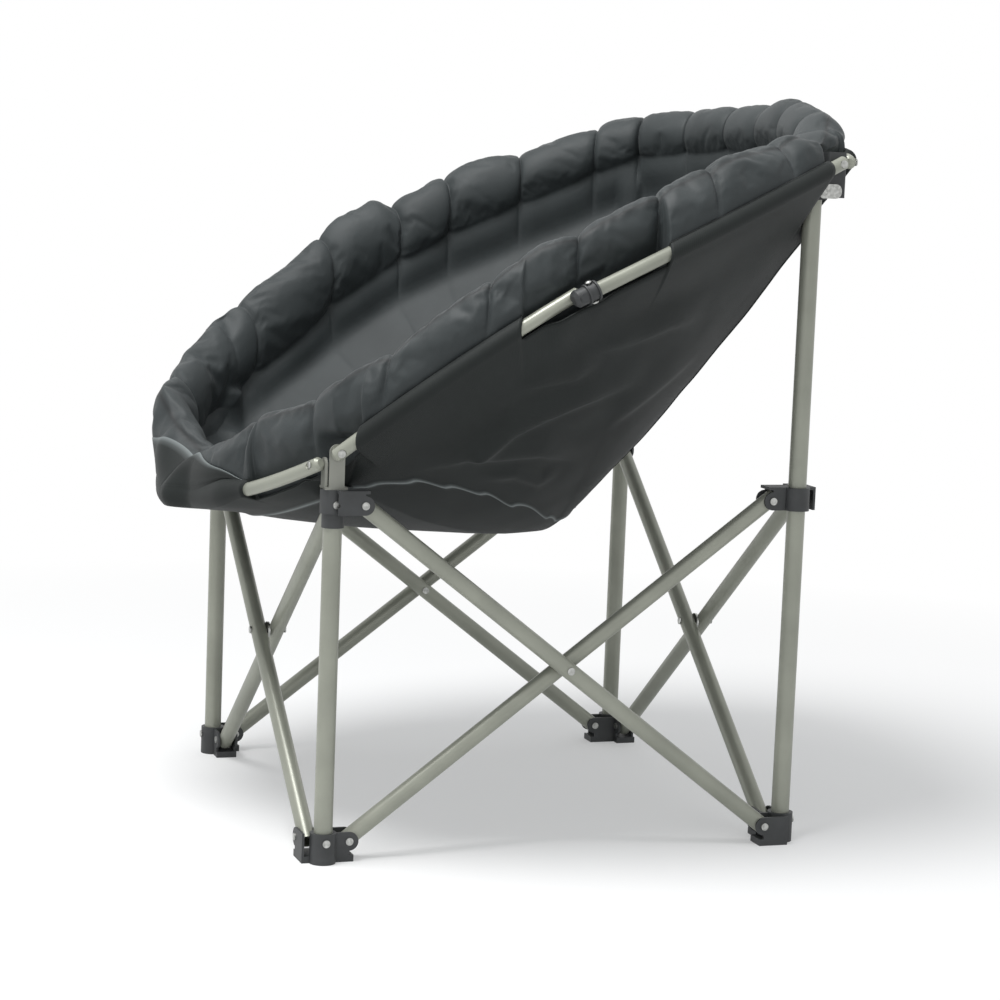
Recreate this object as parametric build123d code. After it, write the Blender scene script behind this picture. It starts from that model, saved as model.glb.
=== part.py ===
from build123d import *
import os
from math import cos, hypot, radians, sin

# Folding saucer chair: a padded bowl seat sewn to a folding tube rim, carried by four uprights
# that four crossed pairs of tubes hold apart. All sizes are millimetres.
# +Z is up, +X is the sitter's left and +Y the chair's back. The origin is on the floor, in the
# middle of the four feet. Each corner is the front left one turned by quarter turns.

# ---- frame -------------------------------------------------------------------------------
FOOTPRINT = 580.0            # between upright axes, both ways
FOOT_PIVOT_Z = 24.0          # height of the lower bar pivots
UPPER_PIVOT_Z = 420.0        # height of the upper bar pivots
PIVOT_REACH = 31.5           # from an upright's axis to a bar pivot
BAR_GAP = 3.0                # between the two bars of a crossed pair
BAR_D = 20.0
BAR_END = 8.0                # tube past its pivot
WALL = 1.2                   # wall of the frame tubes
UPRIGHT_D = 22.0
INNER_TUBE_D = 19.0          # front telescoping tube
INNER_TUBE_BOTTOM = 60.0
REAR_UPRIGHT_TOP = 795.0
RIVET_D = 5.0
RIVET_HEAD_D = 9.0
RIVET_HEAD_H = 1.6
SEAT_ROOM = 0.6              # flat round a rivet's head, on a rim tube
END_BEVEL = 0.4              # bevel of a rim tube's end, as a share of its radius
PIVOT_CLEARANCE = 0.08       # radial, between a rivet and its hole
SLIDE_CLEARANCE = 0.1        # radial, where a tube slides
SEAT_CLEARANCE = 0.05        # radial, where a tube is fixed in its socket

# ---- moulded foot and upper brackets -------------------------------------------------------
BOSS_D = 31.0                # round body about the upright
FOOT_BOSS_H = 36.0
FOOT_FLOOR = 8.0             # foot's solid bottom
CHEEK = 3.0                  # fork cheek thickness
FORK_GAP = 0.4               # between a bar and a cheek
EAR_R = 11.0                 # round end of a cheek
COLLAR_BELOW = 11.0          # upper bracket below its pivots
COLLAR_ABOVE = 17.0          # upper bracket above its pivots
ROOF = 3.5                   # plate over the upper forks
BUSH_D = 26.0                # bush on the front lower tube's mouth
BUSH_H = 16.0
BUSH_LIP = 4.0
BUSH_TO_COLLAR = 0.5

# ---- rim corners ----------------------------------------------------------------------------
RIM_D = 16.0
RIM_WALL = 1.2
RIM_GAP = 0.3                # between a rim tube's eye and what it turns against
PLATE = 3.0                  # steel of the front corner bracket
PLATE_REACH = 13.0           # outer face of that bracket's ears from the upright's axis
PLATE_R = 9.0                # round top of an ear, clear of the other ear
SIDE_EAR_UP = 43.0           # front corner's side pivot above the upper bracket
FRONT_EAR_UP = 27.0          # front corner's front pivot above the upper bracket
HUB_BLOCK = 24.0             # width of the rear hub's block
HUB_BLOCK_H = 54.0
HUB_BLOCK_DOWN = 9.0         # block's bottom below the upright's top
HUB_OUT_X = 22.0             # hub block's outer faces from the upright's axis
HUB_OUT_Y = 32.0
HUB_CAP_DOWN = 12.0          # cap's bottom below the upright's top
HUB_CAP_WALL = 6.0
HUB_SIDE_DOWN = 14.0         # side pivot below the block's top
HUB_REAR_DOWN = 11.0         # rear pivot below the block's top
HUB_PIN = 8.0                # how deep a rim rivet goes into the hub

# ---- rim middle joints -----------------------------------------------------------------------
RIM_OVERHANG = 110.0         # middle joints beyond the uprights' axes, all round
SIDE_JOINT_Y = -45.0
SIDE_JOINT_SHARE = 0.54      # its height, from the front pivot's to the rear pivot's
FRONT_JOINT_DOWN = 69.0      # below the front pivot
REAR_JOINT_UP = 12.0         # above the rear pivot
LAP = 24.0                   # between the two tubes' axes at a middle joint
SLEEVE_D = 20.0
SLEEVE_L = 20.0
LAP_CLEARANCE = 0.5
SIDE_FRONT_BOW = (21.0, 0.0, 11.0)     # how far each tube's middle stands off its chord
SIDE_REAR_BOW = (17.0, 0.0, 2.0)
FRONT_BOW = (0.0, -19.0, -15.0)
REAR_BOW = (0.0, 16.0, 3.0)

# ---- padded seat ------------------------------------------------------------------------------
BOWL_Y = 70.0                # lowest point of the bowl
BOWL_DOWN = 50.0             # bowl's underside below the front middle joint
BOWL_T = 16.0                # padded cloth of the bowl
BOWL_HOLE_R = 3.0            # the eight gores stop here, at the middle
CURVE_FRONT = 2.2            # how hollow the bowl is to the front, side and back
CURVE_SIDE = 1.45
CURVE_BACK = 0.9
BOWL_ARC_AT = 0.55           # share of a bowl section where its arc is held
LINING_SLANT = 0.7           # slope of the bowl there, radians
PUFFS = 3                    # stuffed puffs along each rim tube
SEAM_PINCH = 0.86            # roll's size at a sewn seam
ROLL_IN = 24.0               # roll's middle inwards from the rim tube
ROLL_HALF_W = 36.0
ROLL_BELOW = 14.0            # roll's underside below the rim
ROLL_FACE_SWELL = 8.0        # outer face of the roll beyond a straight line
ROLL_CREST_AT = 78.0         # degrees round the roll's section: crest, inside, and the seam below
ROLL_INSIDE_AT = 178.0
ROLL_SEAM_AT = 232.0
SLEEVE_CLOTH = 3.0           # cloth round the rim tube
SLEEVE_LOW_AT = 57.0         # degrees below and above level where the bowl and roll meet the sleeve
SLEEVE_HIGH_AT = 52.0
TUBE_ROOM = 0.3              # between a rim tube and the cloth
WINDOW_D = 30.0              # sleeve is cut away round the joints
WINDOW_MIDDLE = 0.26         # share of a tube's length left bare at the middle joint
WINDOW_CORNER = {"side_front": 0.12, "side_rear": 0.12, "front": 0.42, "rear": 0.16}
# roll's crest above the rim: at the corner, half way along the tube and at the middle joint
ROLL_CREST = {
    "side_front": (98.0, 90.0, 76.0),
    "side_rear": (56.0, 78.0, 76.0),
    "front": (98.0, 82.0, 62.0),
    "rear": (56.0, 60.0, 60.0),
}
GORE_GAP = 0.3               # between neighbouring gores
CLOTH_ROOM = 2.5             # between the bowl and the brackets

HALF = FOOTPRINT / 2
BAR_OFFSET = (BAR_D + BAR_GAP) / 2
SPAN = FOOTPRINT - 2 * PIVOT_REACH
COLLAR_BOTTOM = UPPER_PIVOT_Z - COLLAR_BELOW
COLLAR_TOP = UPPER_PIVOT_Z + COLLAR_ABOVE
BUSH_TOP = COLLAR_BOTTOM - BUSH_TO_COLLAR
LOWER_TUBE_TOP = BUSH_TOP - BUSH_LIP
RIM_OFF = RIM_GAP + RIM_D / 2
FRONT_SIDE_PIVOT_Z = COLLAR_TOP + SIDE_EAR_UP
FRONT_FRONT_PIVOT_Z = COLLAR_TOP + FRONT_EAR_UP
HUB_BLOCK_BOTTOM = REAR_UPRIGHT_TOP - HUB_BLOCK_DOWN
HUB_BLOCK_TOP = HUB_BLOCK_BOTTOM + HUB_BLOCK_H
HUB_CAP_BOTTOM = REAR_UPRIGHT_TOP - HUB_CAP_DOWN
REAR_SIDE_PIVOT_Z = HUB_BLOCK_TOP - HUB_SIDE_DOWN
REAR_REAR_PIVOT_Z = HUB_BLOCK_TOP - HUB_REAR_DOWN
CORNERS = {"front_left": 0, "rear_left": 1, "rear_right": 2, "front_right": 3}

parts = {}


def box(x0, x1, y0, y1, z0, z1):
    return Pos(x0, y0, z0) * Box(x1 - x0, y1 - y0, z1 - z0, align=(Align.MIN, Align.MIN, Align.MIN))


def rod(radius, start, end):
    """Cylinder from one point to another."""
    start, end = Vector(*start), Vector(*end)
    plane = Plane(origin=start, z_dir=end - start)
    return plane * Cylinder(radius, (end - start).length, align=(Align.CENTER, Align.CENTER, Align.MIN))


def pipe(outer, wall, start, end):
    return rod(outer / 2, start, end) - rod(outer / 2 - wall, start, end)


def rivet(start, end):
    """Shank with a low head outside each end."""
    start, end = Vector(*start), Vector(*end)
    out = (end - start).normalized() * RIVET_HEAD_H
    shank = rod(RIVET_D / 2, start, end)
    heads = rod(RIVET_HEAD_D / 2, start - out, start) + rod(RIVET_HEAD_D / 2, end, end + out)
    return shank + heads


def hole(start, end):
    return rod(RIVET_D / 2 + PIVOT_CLEARANCE, start, end)


def at_corner(shape, corner):
    """Moves a shape made about the front left upright's axis to any corner."""
    return Rot(0, 0, 90 * CORNERS[corner]) * Pos(HALF, -HALF, 0) * shape


def quarter(shape):
    """The same feature for the next side of a corner."""
    return Rot(0, 0, 90) * shape


def mirrored(shape):
    return mirror(shape, about=Plane.YZ)


# ---- brackets --------------------------------------------------------------------------------
FORK_HALF = BAR_D / 2 + FORK_GAP + CHEEK


def fork(bar_x, pivot_z, bottom, top, plate_bottom, plate_top):
    """Two cheeks and a plate that hold one bar's end, reaching along +Y from the upright."""
    shape = box(bar_x - FORK_HALF, bar_x + FORK_HALF, 0, PIVOT_REACH + EAR_R / 2, plate_bottom, plate_top)
    for side in (-1, 1):
        inner = bar_x + side * (FORK_HALF - CHEEK)
        outer = bar_x + side * FORK_HALF
        x0, x1 = min(inner, outer), max(inner, outer)
        shape += box(x0, x1, 0, PIVOT_REACH, bottom, top)
        shape += rod(EAR_R, (x0, PIVOT_REACH, pivot_z), (x1, PIVOT_REACH, pivot_z))
    return shape - hole((bar_x - FORK_HALF, PIVOT_REACH, pivot_z), (bar_x + FORK_HALF, PIVOT_REACH, pivot_z))


def fork_rivets(bar_x, pivot_z):
    pin = rivet((bar_x - FORK_HALF, PIVOT_REACH, pivot_z), (bar_x + FORK_HALF, PIVOT_REACH, pivot_z))
    return pin, quarter(pin)


def foot_bracket():
    arm = fork(-BAR_OFFSET, FOOT_PIVOT_Z, 0, FOOT_PIVOT_Z + EAR_R, 0, FOOT_FLOOR)
    shape = rod(BOSS_D / 2, (0, 0, 0), (0, 0, FOOT_BOSS_H)) + arm + quarter(arm)
    shape -= rod(UPRIGHT_D / 2 + SEAT_CLEARANCE, (0, 0, FOOT_FLOOR), (0, 0, FOOT_BOSS_H))
    return shape - hole((0, 0, FOOT_FIX_Z), (BOSS_D, 0, FOOT_FIX_Z))


def upper_bracket(bore):
    arm = fork(BAR_OFFSET, UPPER_PIVOT_Z, UPPER_PIVOT_Z - EAR_R, COLLAR_TOP, COLLAR_TOP - ROOF, COLLAR_TOP)
    shape = rod(BOSS_D / 2, (0, 0, COLLAR_BOTTOM), (0, 0, COLLAR_TOP)) + arm + quarter(arm)
    return shape - rod(bore / 2, (0, 0, COLLAR_BOTTOM), (0, 0, COLLAR_TOP))


FOOT_FIX_Z = FOOT_BOSS_H - 2 * RIVET_D
SIDE_NAMES = {"front_left": "left", "rear_left": "rear", "rear_right": "right", "front_right": "front"}

for corner in CORNERS:
    bracket = foot_bracket()
    parts[corner + "_foot"] = at_corner(bracket, corner)
    fixing = rivet((UPRIGHT_D / 2 - 2 * WALL, 0, FOOT_FIX_Z), (BOSS_D / 2, 0, FOOT_FIX_Z))
    foot_rivets = [fixing, *fork_rivets(-BAR_OFFSET, FOOT_PIVOT_Z)]
    upper_rivets = [*fork_rivets(BAR_OFFSET, UPPER_PIVOT_Z)]
    fix_hole = hole((0, 0, FOOT_FIX_Z), (BOSS_D, 0, FOOT_FIX_Z))

    if corner.startswith("front"):
        lower = pipe(UPRIGHT_D, WALL, (0, 0, FOOT_FLOOR), (0, 0, LOWER_TUBE_TOP)) - fix_hole
        parts[corner + "_lower_tube"] = at_corner(lower, corner)
        bush = rod(BUSH_D / 2, (0, 0, BUSH_TOP - BUSH_H), (0, 0, BUSH_TOP))
        bush -= rod(UPRIGHT_D / 2 + SEAT_CLEARANCE, (0, 0, BUSH_TOP - BUSH_H), (0, 0, LOWER_TUBE_TOP))
        bush -= rod(INNER_TUBE_D / 2 + SLIDE_CLEARANCE, (0, 0, LOWER_TUBE_TOP), (0, 0, BUSH_TOP))
        parts[corner + "_tube_bush"] = at_corner(bush, corner)
        collar_fix = ((0, 0, UPPER_PIVOT_Z), (BOSS_D, 0, UPPER_PIVOT_Z))
        inner = pipe(INNER_TUBE_D, WALL, (0, 0, INNER_TUBE_BOTTOM), (0, 0, COLLAR_TOP)) - hole(*collar_fix)
        parts[corner + "_inner_tube"] = at_corner(inner, corner)
        bracket = upper_bracket(INNER_TUBE_D + 2 * SEAT_CLEARANCE) - hole(*collar_fix)
        pop_start = INNER_TUBE_D / 2 - 3 * WALL
        upper_rivets.append(rivet((pop_start, 0, UPPER_PIVOT_Z), (BOSS_D / 2, 0, UPPER_PIVOT_Z)))
    else:
        upright = pipe(UPRIGHT_D, WALL, (0, 0, FOOT_FLOOR), (0, 0, REAR_UPRIGHT_TOP)) - fix_hole
        parts[corner + "_upright"] = at_corner(upright, corner)
        bracket = upper_bracket(UPRIGHT_D + 2 * SLIDE_CLEARANCE)

    parts[corner + "_upper_bracket"] = at_corner(bracket, corner)
    parts[corner + "_foot_rivets"] = [at_corner(r, corner) for r in foot_rivets]
    parts[corner + "_bracket_rivets"] = [at_corner(r, corner) for r in upper_rivets]


# ---- crossed bars, one pair on each side --------------------------------------------------------
def bar(bar_x, rising):
    """A bar of the left side: rising goes up towards the back, the other one down."""
    low_y, high_y = (-SPAN / 2, SPAN / 2) if rising else (SPAN / 2, -SPAN / 2)
    low = Vector(bar_x, low_y, FOOT_PIVOT_Z)
    high = Vector(bar_x, high_y, UPPER_PIVOT_Z)
    along = (high - low).normalized() * BAR_END
    shape = pipe(BAR_D, WALL, low - along, high + along)
    for point in (low, (low + high) * 0.5, high):
        shape -= hole(point - Vector(BAR_D, 0, 0), point + Vector(BAR_D, 0, 0))
    return shape


def crossing_rivet():
    z = (FOOT_PIVOT_Z + UPPER_PIVOT_Z) / 2
    reach = BAR_OFFSET + BAR_D / 2
    pin = rivet((HALF - reach, 0, z), (HALF + reach, 0, z))
    half_washer = BAR_GAP / 2 - PIVOT_CLEARANCE
    washer = rod(BAR_D / 2, (HALF - half_washer, 0, z), (HALF + half_washer, 0, z))
    return [pin, washer - hole((HALF - BAR_GAP, 0, z), (HALF + BAR_GAP, 0, z))]


for corner, side in SIDE_NAMES.items():
    turn = Rot(0, 0, 90 * CORNERS[corner])
    parts[side + "_inner_bar"] = turn * bar(HALF - BAR_OFFSET, True)
    parts[side + "_outer_bar"] = turn * bar(HALF + BAR_OFFSET, False)
    parts[side + "_crossing_rivet"] = [turn * solid for solid in crossing_rivet()]


# ---- rim corners: steel brackets in front, moulded hubs behind ------------------------------------
def corner_bracket():
    """Bent steel bracket on a front upper bracket, with an ear for each rim tube."""
    base_top = COLLAR_TOP + PLATE
    shape = box(-PLATE_REACH, PLATE_REACH, -PLATE_REACH, PLATE_REACH, COLLAR_TOP, base_top)
    inner = PLATE_REACH - PLATE
    shape += box(inner, PLATE_REACH, -PLATE_R, PLATE_R, COLLAR_TOP, FRONT_SIDE_PIVOT_Z)
    shape += rod(PLATE_R, (inner, 0, FRONT_SIDE_PIVOT_Z), (PLATE_REACH, 0, FRONT_SIDE_PIVOT_Z))
    shape += box(-PLATE_R, PLATE_R, -PLATE_REACH, -inner, COLLAR_TOP, FRONT_FRONT_PIVOT_Z)
    shape += rod(PLATE_R, (0, -PLATE_REACH, FRONT_FRONT_PIVOT_Z), (0, -inner, FRONT_FRONT_PIVOT_Z))
    shape -= hole((0, 0, FRONT_SIDE_PIVOT_Z), (BOSS_D, 0, FRONT_SIDE_PIVOT_Z))
    return shape - hole((0, 0, FRONT_FRONT_PIVOT_Z), (0, -BOSS_D, FRONT_FRONT_PIVOT_Z))


def corner_bracket_rivets():
    inner = PLATE_REACH - PLATE
    outer = PLATE_REACH + RIM_GAP + RIM_D
    side = rivet((inner, 0, FRONT_SIDE_PIVOT_Z), (outer, 0, FRONT_SIDE_PIVOT_Z))
    return side, rivet((0, -inner, FRONT_FRONT_PIVOT_Z), (0, -outer, FRONT_FRONT_PIVOT_Z))


HUB_X = HUB_OUT_X - HUB_BLOCK / 2
HUB_Y = HUB_OUT_Y - HUB_BLOCK / 2


def hub_pins(reach):
    """Ends of the hub's two rim rivets, reaching so far out of its faces."""
    side = ((HUB_OUT_X - HUB_PIN, HUB_Y, REAR_SIDE_PIVOT_Z), (HUB_OUT_X + reach, HUB_Y, REAR_SIDE_PIVOT_Z))
    back = ((HUB_X, HUB_OUT_Y - HUB_PIN, REAR_REAR_PIVOT_Z), (HUB_X, HUB_OUT_Y + reach, REAR_REAR_PIVOT_Z))
    return side, back


def rear_hub():
    """Moulded hub on the rear left upright, with a face for each rim tube."""
    cap_r = UPRIGHT_D / 2 + HUB_CAP_WALL
    inner_x, inner_y = HUB_OUT_X - HUB_BLOCK, HUB_OUT_Y - HUB_BLOCK
    block = box(inner_x, HUB_OUT_X, inner_y, HUB_OUT_Y, HUB_BLOCK_BOTTOM, HUB_BLOCK_TOP)
    block = fillet(block.edges().filter_by(Axis.Z), HUB_CAP_WALL / 2)
    shape = rod(cap_r, (0, 0, HUB_CAP_BOTTOM), (0, 0, REAR_UPRIGHT_TOP + HUB_CAP_WALL)) + block
    shape -= rod(UPRIGHT_D / 2 + SEAT_CLEARANCE, (0, 0, HUB_CAP_BOTTOM), (0, 0, REAR_UPRIGHT_TOP))
    for start, end in hub_pins(0):
        shape -= hole(start, end)
    return shape


def one_headed_rivet(start, end):
    """Rivet with a head at its second end only."""
    start, end = Vector(*start), Vector(*end)
    out = (end - start).normalized() * RIVET_HEAD_H
    return rod(RIVET_D / 2, start, end) + rod(RIVET_HEAD_D / 2, end, end + out)


def rear_hub_rivets():
    return [one_headed_rivet(*pin) for pin in hub_pins(RIM_GAP + RIM_D)]


front_corner = Pos(HALF, -HALF, 0)
rear_corner = Pos(HALF, HALF, 0)
for side, flip in (("left", lambda s: s), ("right", mirrored)):
    parts[f"front_{side}_rim_bracket"] = flip(front_corner * corner_bracket())
    parts[f"front_{side}_bracket_rivets"] += [flip(front_corner * r) for r in corner_bracket_rivets()]
    parts[f"rear_{side}_rim_hub"] = flip(rear_corner * rear_hub())
    parts[f"rear_{side}_foot_rivets"] += [flip(rear_corner * r) for r in rear_hub_rivets()]


# ---- rim tubes ------------------------------------------------------------------------------------
FRONT_SIDE = Vector(HALF + PLATE_REACH + RIM_OFF, -HALF, FRONT_SIDE_PIVOT_Z)
FRONT_FRONT = Vector(HALF, -HALF - PLATE_REACH - RIM_OFF, FRONT_FRONT_PIVOT_Z)
REAR_SIDE = Vector(HALF + HUB_OUT_X + RIM_OFF, HALF + HUB_Y, REAR_SIDE_PIVOT_Z)
REAR_REAR = Vector(HALF + HUB_X, HALF + HUB_OUT_Y + RIM_OFF, REAR_REAR_PIVOT_Z)
SIDE_JOINT_Z = FRONT_SIDE.Z + SIDE_JOINT_SHARE * (REAR_SIDE.Z - FRONT_SIDE.Z)
SIDE_MIDDLE = Vector(HALF + RIM_OVERHANG, SIDE_JOINT_Y, SIDE_JOINT_Z)
FRONT_MIDDLE = Vector(0, -HALF - RIM_OVERHANG, FRONT_FRONT.Z - FRONT_JOINT_DOWN)
REAR_MIDDLE = Vector(0, HALF + RIM_OVERHANG, REAR_REAR.Z + REAR_JOINT_UP)
BOWL_Z = FRONT_MIDDLE.Z - BOWL_DOWN
FRONT_CORNER = Vector(FRONT_SIDE.X, FRONT_FRONT.Y, (FRONT_SIDE.Z + FRONT_FRONT.Z) / 2)
REAR_CORNER = Vector(REAR_SIDE.X, REAR_REAR.Y, (REAR_SIDE.Z + REAR_REAR.Z) / 2)
OUT_X = Vector(1, 0, 0)
OUT_Y = Vector(0, 1, 0)

# Each tube of the left half: its corner pivot, the middle joint, the rim's corner, how it bows,
# and the way out of the chair along its hinge axis.
TUBES = {
    "side_front": (FRONT_SIDE, SIDE_MIDDLE, FRONT_CORNER, Vector(*SIDE_FRONT_BOW), OUT_X),
    "side_rear": (REAR_SIDE, SIDE_MIDDLE, REAR_CORNER, Vector(*SIDE_REAR_BOW), OUT_X),
    "front": (FRONT_FRONT, FRONT_MIDDLE, FRONT_CORNER, Vector(*FRONT_BOW), OUT_Y * -1),
    "rear": (REAR_REAR, REAR_MIDDLE, REAR_CORNER, Vector(*REAR_BOW), OUT_Y),
}


def tube_points(key, hand):
    """A tube's points on the left or, with hand -1, on the right."""
    return [Vector(point.X * hand, point.Y, point.Z) for point in TUBES[key]]


def tube_path(key, lap_side, hand):
    """Arc from the corner pivot to the tube's own side of the middle joint."""
    pivot, middle, _, bow, outwards = tube_points(key, hand)
    end = middle + outwards * (lap_side * LAP / 2)
    return ThreePointArc(pivot, (pivot + end) * 0.5 + bow, end)


def stretch(path, start, end):
    """Part of an arc, as an arc."""
    return ThreePointArc(path @ start, path @ ((start + end) / 2), path @ end)


def along(path, radius, bore=0):
    """Round rod, or tube, along an arc."""
    plane = Plane(origin=path @ 0, x_dir=(0, 0, 1), z_dir=path % 0)
    face = Circle(radius) - Circle(bore) if bore else Circle(radius)
    return sweep(plane * face, path=path)


def head_seat(point, outwards, depth):
    """What a flat for a rivet's head cuts off a round tube."""
    return rod(RIVET_HEAD_D / 2 + SEAT_ROOM, point + outwards * depth, point + outwards * 2 * depth)


def rounded_end(radius, start, direction):
    """Short rod past an arc's end, with a bevelled far edge."""
    end = start + direction * radius
    shape = rod(radius, start, end)
    far_edge = shape.edges().sort_by_distance(end)[0]
    return chamfer(far_edge, radius * END_BEVEL)


def rim_tube(path, outwards):
    """Round tube with a closed eye at each end, bored for the hinge rivets."""
    plug = RIM_D / path.length
    first = along(stretch(path, 0, plug), RIM_D / 2) + rounded_end(RIM_D / 2, path @ 0, path % 0 * -1)
    last = along(stretch(path, 1 - plug, 1), RIM_D / 2) + rounded_end(RIM_D / 2, path @ 1, path % 1)
    first -= head_seat(path @ 0, outwards, RIM_D / 2)
    first -= rod(RIM_D, path @ 0 - outwards * RIM_D / 2, path @ 0 - outwards * RIM_D)
    first -= hole(path @ 0 - outwards * RIM_D, path @ 0 + outwards * RIM_D)
    last -= hole(path @ 1 - outwards * RIM_D, path @ 1 + outwards * RIM_D)
    return along(stretch(path, plug, 1 - plug), RIM_D / 2, RIM_D / 2 - RIM_WALL) + first + last


def middle_sleeve(path, outwards):
    """Moulded sleeve on an outer tube's end, with a boss towards the inner tube, and its rivet."""
    grip = stretch(path, 1 - SLEEVE_L / path.length, 1)
    end = path @ 1
    boss_face = end - outwards * (LAP - RIM_D / 2 - LAP_CLEARANCE)
    back = end + outwards * (SLEEVE_D / 2)
    bore = RIM_D / 2 + SEAT_CLEARANCE
    shape = along(grip, SLEEVE_D / 2) + rounded_end(SLEEVE_D / 2, end, path % 1)
    shape += rod(RIM_D / 2, end, boss_face)
    shape -= along(grip, bore) + rounded_end(bore, end, path % 1)
    shape -= head_seat(end, outwards, SLEEVE_D / 2)
    return [shape - hole(back, boss_face), one_headed_rivet(boss_face, back)]


def half_tubes():
    """Yields every rim tube: its node's name, key, side of the middle joint, and side of the chair."""
    for side, hand in (("left", 1), ("right", -1)):
        yield f"{side}_front_rim_tube", "side_front", -1, hand
        yield f"{side}_rear_rim_tube", "side_rear", 1, hand
        yield f"front_{side}_rim_tube", "front", -hand, hand
        yield f"rear_{side}_rim_tube", "rear", -hand, hand


# ---- padded seat, one gore on each rim tube ----------------------------------------------------------
def curve_power(rim_point):
    """How hollow the bowl's section is below a point of the rim."""
    across = hypot(rim_point.X, rim_point.Y - BOWL_Y)
    back = (rim_point.Y - BOWL_Y) / across
    target = CURVE_BACK if back > 0 else CURVE_FRONT
    return CURVE_SIDE + (target - CURVE_SIDE) * abs(back) ** 1.5


def crest_height(key, share):
    """Top of the roll above the rim, at one share of a tube's length."""
    corner, half_way, middle = ROLL_CREST[key]
    bend = 4 * half_way - 2 * (corner + middle)
    return corner + (middle - corner) * share + bend * share * (1 - share)


def section(rim_point, tube_point, size, shift, crest):
    """The gore's outline in the upright plane through the bowl's middle and a point of the rim."""
    reach = hypot(rim_point.X, rim_point.Y - BOWL_Y)
    out = Vector(rim_point.X / reach, (rim_point.Y - BOWL_Y) / reach, 0)
    sideways = Vector(-out.Y, out.X, 0) * shift
    tube_s = (tube_point - rim_point).dot(out)
    tube_z = tube_point.Z - rim_point.Z

    def point(s, z):
        return Vector(0, BOWL_Y, rim_point.Z) + out * (reach + s) + Vector(0, 0, z) + sideways

    half_height = (crest + ROLL_BELOW) / 2

    def roll(degrees):
        s = -ROLL_IN + size * ROLL_HALF_W * cos(radians(degrees))
        return point(s, crest - half_height + size * half_height * sin(radians(degrees)))

    power = curve_power(rim_point)
    hem_r = RIM_D / 2 + SLEEVE_CLOTH
    drop = rim_point.Z - hem_r - BOWL_Z

    def bowl(share, lift):
        return point(-reach * (1 - share), -hem_r - drop * (1 - share ** power) + lift)

    def hem(degrees):
        return point(tube_s + hem_r * cos(radians(degrees)), tube_z + hem_r * sin(radians(degrees)))

    hem_low, hem_high = hem(-SLEEVE_LOW_AT), hem(SLEEVE_HIGH_AT)
    axis_low = point(BOWL_HOLE_R - reach, BOWL_Z - rim_point.Z)
    axis_high = point(BOWL_HOLE_R - reach, BOWL_Z - rim_point.Z + BOWL_T)
    roll_top, roll_in, roll_low = roll(ROLL_CREST_AT), roll(ROLL_INSIDE_AT), roll(ROLL_SEAM_AT)
    face_middle = (hem_high + roll_top) * 0.5 + out * ROLL_FACE_SWELL
    edges = [
        ThreePointArc(axis_low, bowl(BOWL_ARC_AT, 0), hem_low),
        ThreePointArc(hem_low, hem(0), hem_high),
        ThreePointArc(hem_high, face_middle, roll_top),
        ThreePointArc(roll_top, roll((ROLL_CREST_AT + ROLL_INSIDE_AT) / 2), roll_in),
        ThreePointArc(roll_in, roll((ROLL_INSIDE_AT + ROLL_SEAM_AT) / 2), roll_low),
        ThreePointArc(roll_low, bowl(BOWL_ARC_AT, BOWL_T / cos(LINING_SLANT)), axis_high),
        Line(axis_high, axis_low),
    ]
    return Face(Wire(edges))


def gore(key, lap_side, hand):
    """Padded gore of the bowl with its stretch of the puffed roll, round one rim tube."""
    pivot, middle, corner, _, outwards = tube_points(key, hand)
    path = tube_path(key, lap_side, hand)
    own_end = path @ 1
    count = 2 * PUFFS
    axis = Vector(0, BOWL_Y, 0)
    turning = 1 if (corner - axis).cross(middle - axis).Z > 0 else -1
    faces = []
    for step in range(count + 1):
        share = step / count
        tube_point = path @ share
        rim_point = tube_point + (corner - pivot) * (1 - share) ** 2 + (middle - own_end) * share
        size = SEAM_PINCH if step % 2 == 0 else 1.0
        shift = {0: 1, count: -1}.get(step, 0) * turning * GORE_GAP / 2
        faces.append(section(rim_point, tube_point, size, shift, crest_height(key, share)))
    shape = loft(faces)
    room = RIM_D / 2 + TUBE_ROOM
    shape -= along(path, room)
    shape -= along(stretch(path, 0.0, WINDOW_CORNER[key]), WINDOW_D / 2)
    shape -= along(stretch(path, 1 - WINDOW_MIDDLE, 1.0), WINDOW_D / 2)
    lap_ends = [middle - outwards * LAP / 2, middle + outwards * LAP / 2]
    shape -= rod(WINDOW_D / 2, *lap_ends)
    for point in (pivot, *lap_ends):
        shape -= Pos(*point) * Sphere(WINDOW_D / 2)
    return shape


def fork_room():
    """Space kept free in the cloth about an upper bracket and the bars that it holds."""
    wide = FORK_HALF + BAR_OFFSET + CLOTH_ROOM
    reach = PIVOT_REACH + EAR_R + CLOTH_ROOM
    low, top = COLLAR_BOTTOM - CLOTH_ROOM, COLLAR_TOP + CLOTH_ROOM
    around = BOSS_D / 2 + CLOTH_ROOM
    arm = box(-CLOTH_ROOM, wide, -around, reach, low, top)
    shape = rod(around, (0, 0, low), (0, 0, top)) + arm + quarter(arm)
    pivot = Vector(BAR_OFFSET, PIVOT_REACH, UPPER_PIVOT_Z)
    falling = Vector(BAR_OFFSET, PIVOT_REACH + SPAN, FOOT_PIVOT_Z)
    bar_room = rod(BAR_D / 2 + CLOTH_ROOM, pivot, falling)
    return shape + bar_room + quarter(bar_room)


def ear_room():
    """Space kept free in the cloth about a front rim bracket."""
    wide = PLATE_REACH + RIM_D
    inner = PLATE_REACH + CLOTH_ROOM
    return box(-inner, wide, -wide, inner, COLLAR_TOP, FRONT_SIDE_PIVOT_Z + PLATE_R + CLOTH_ROOM)


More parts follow.
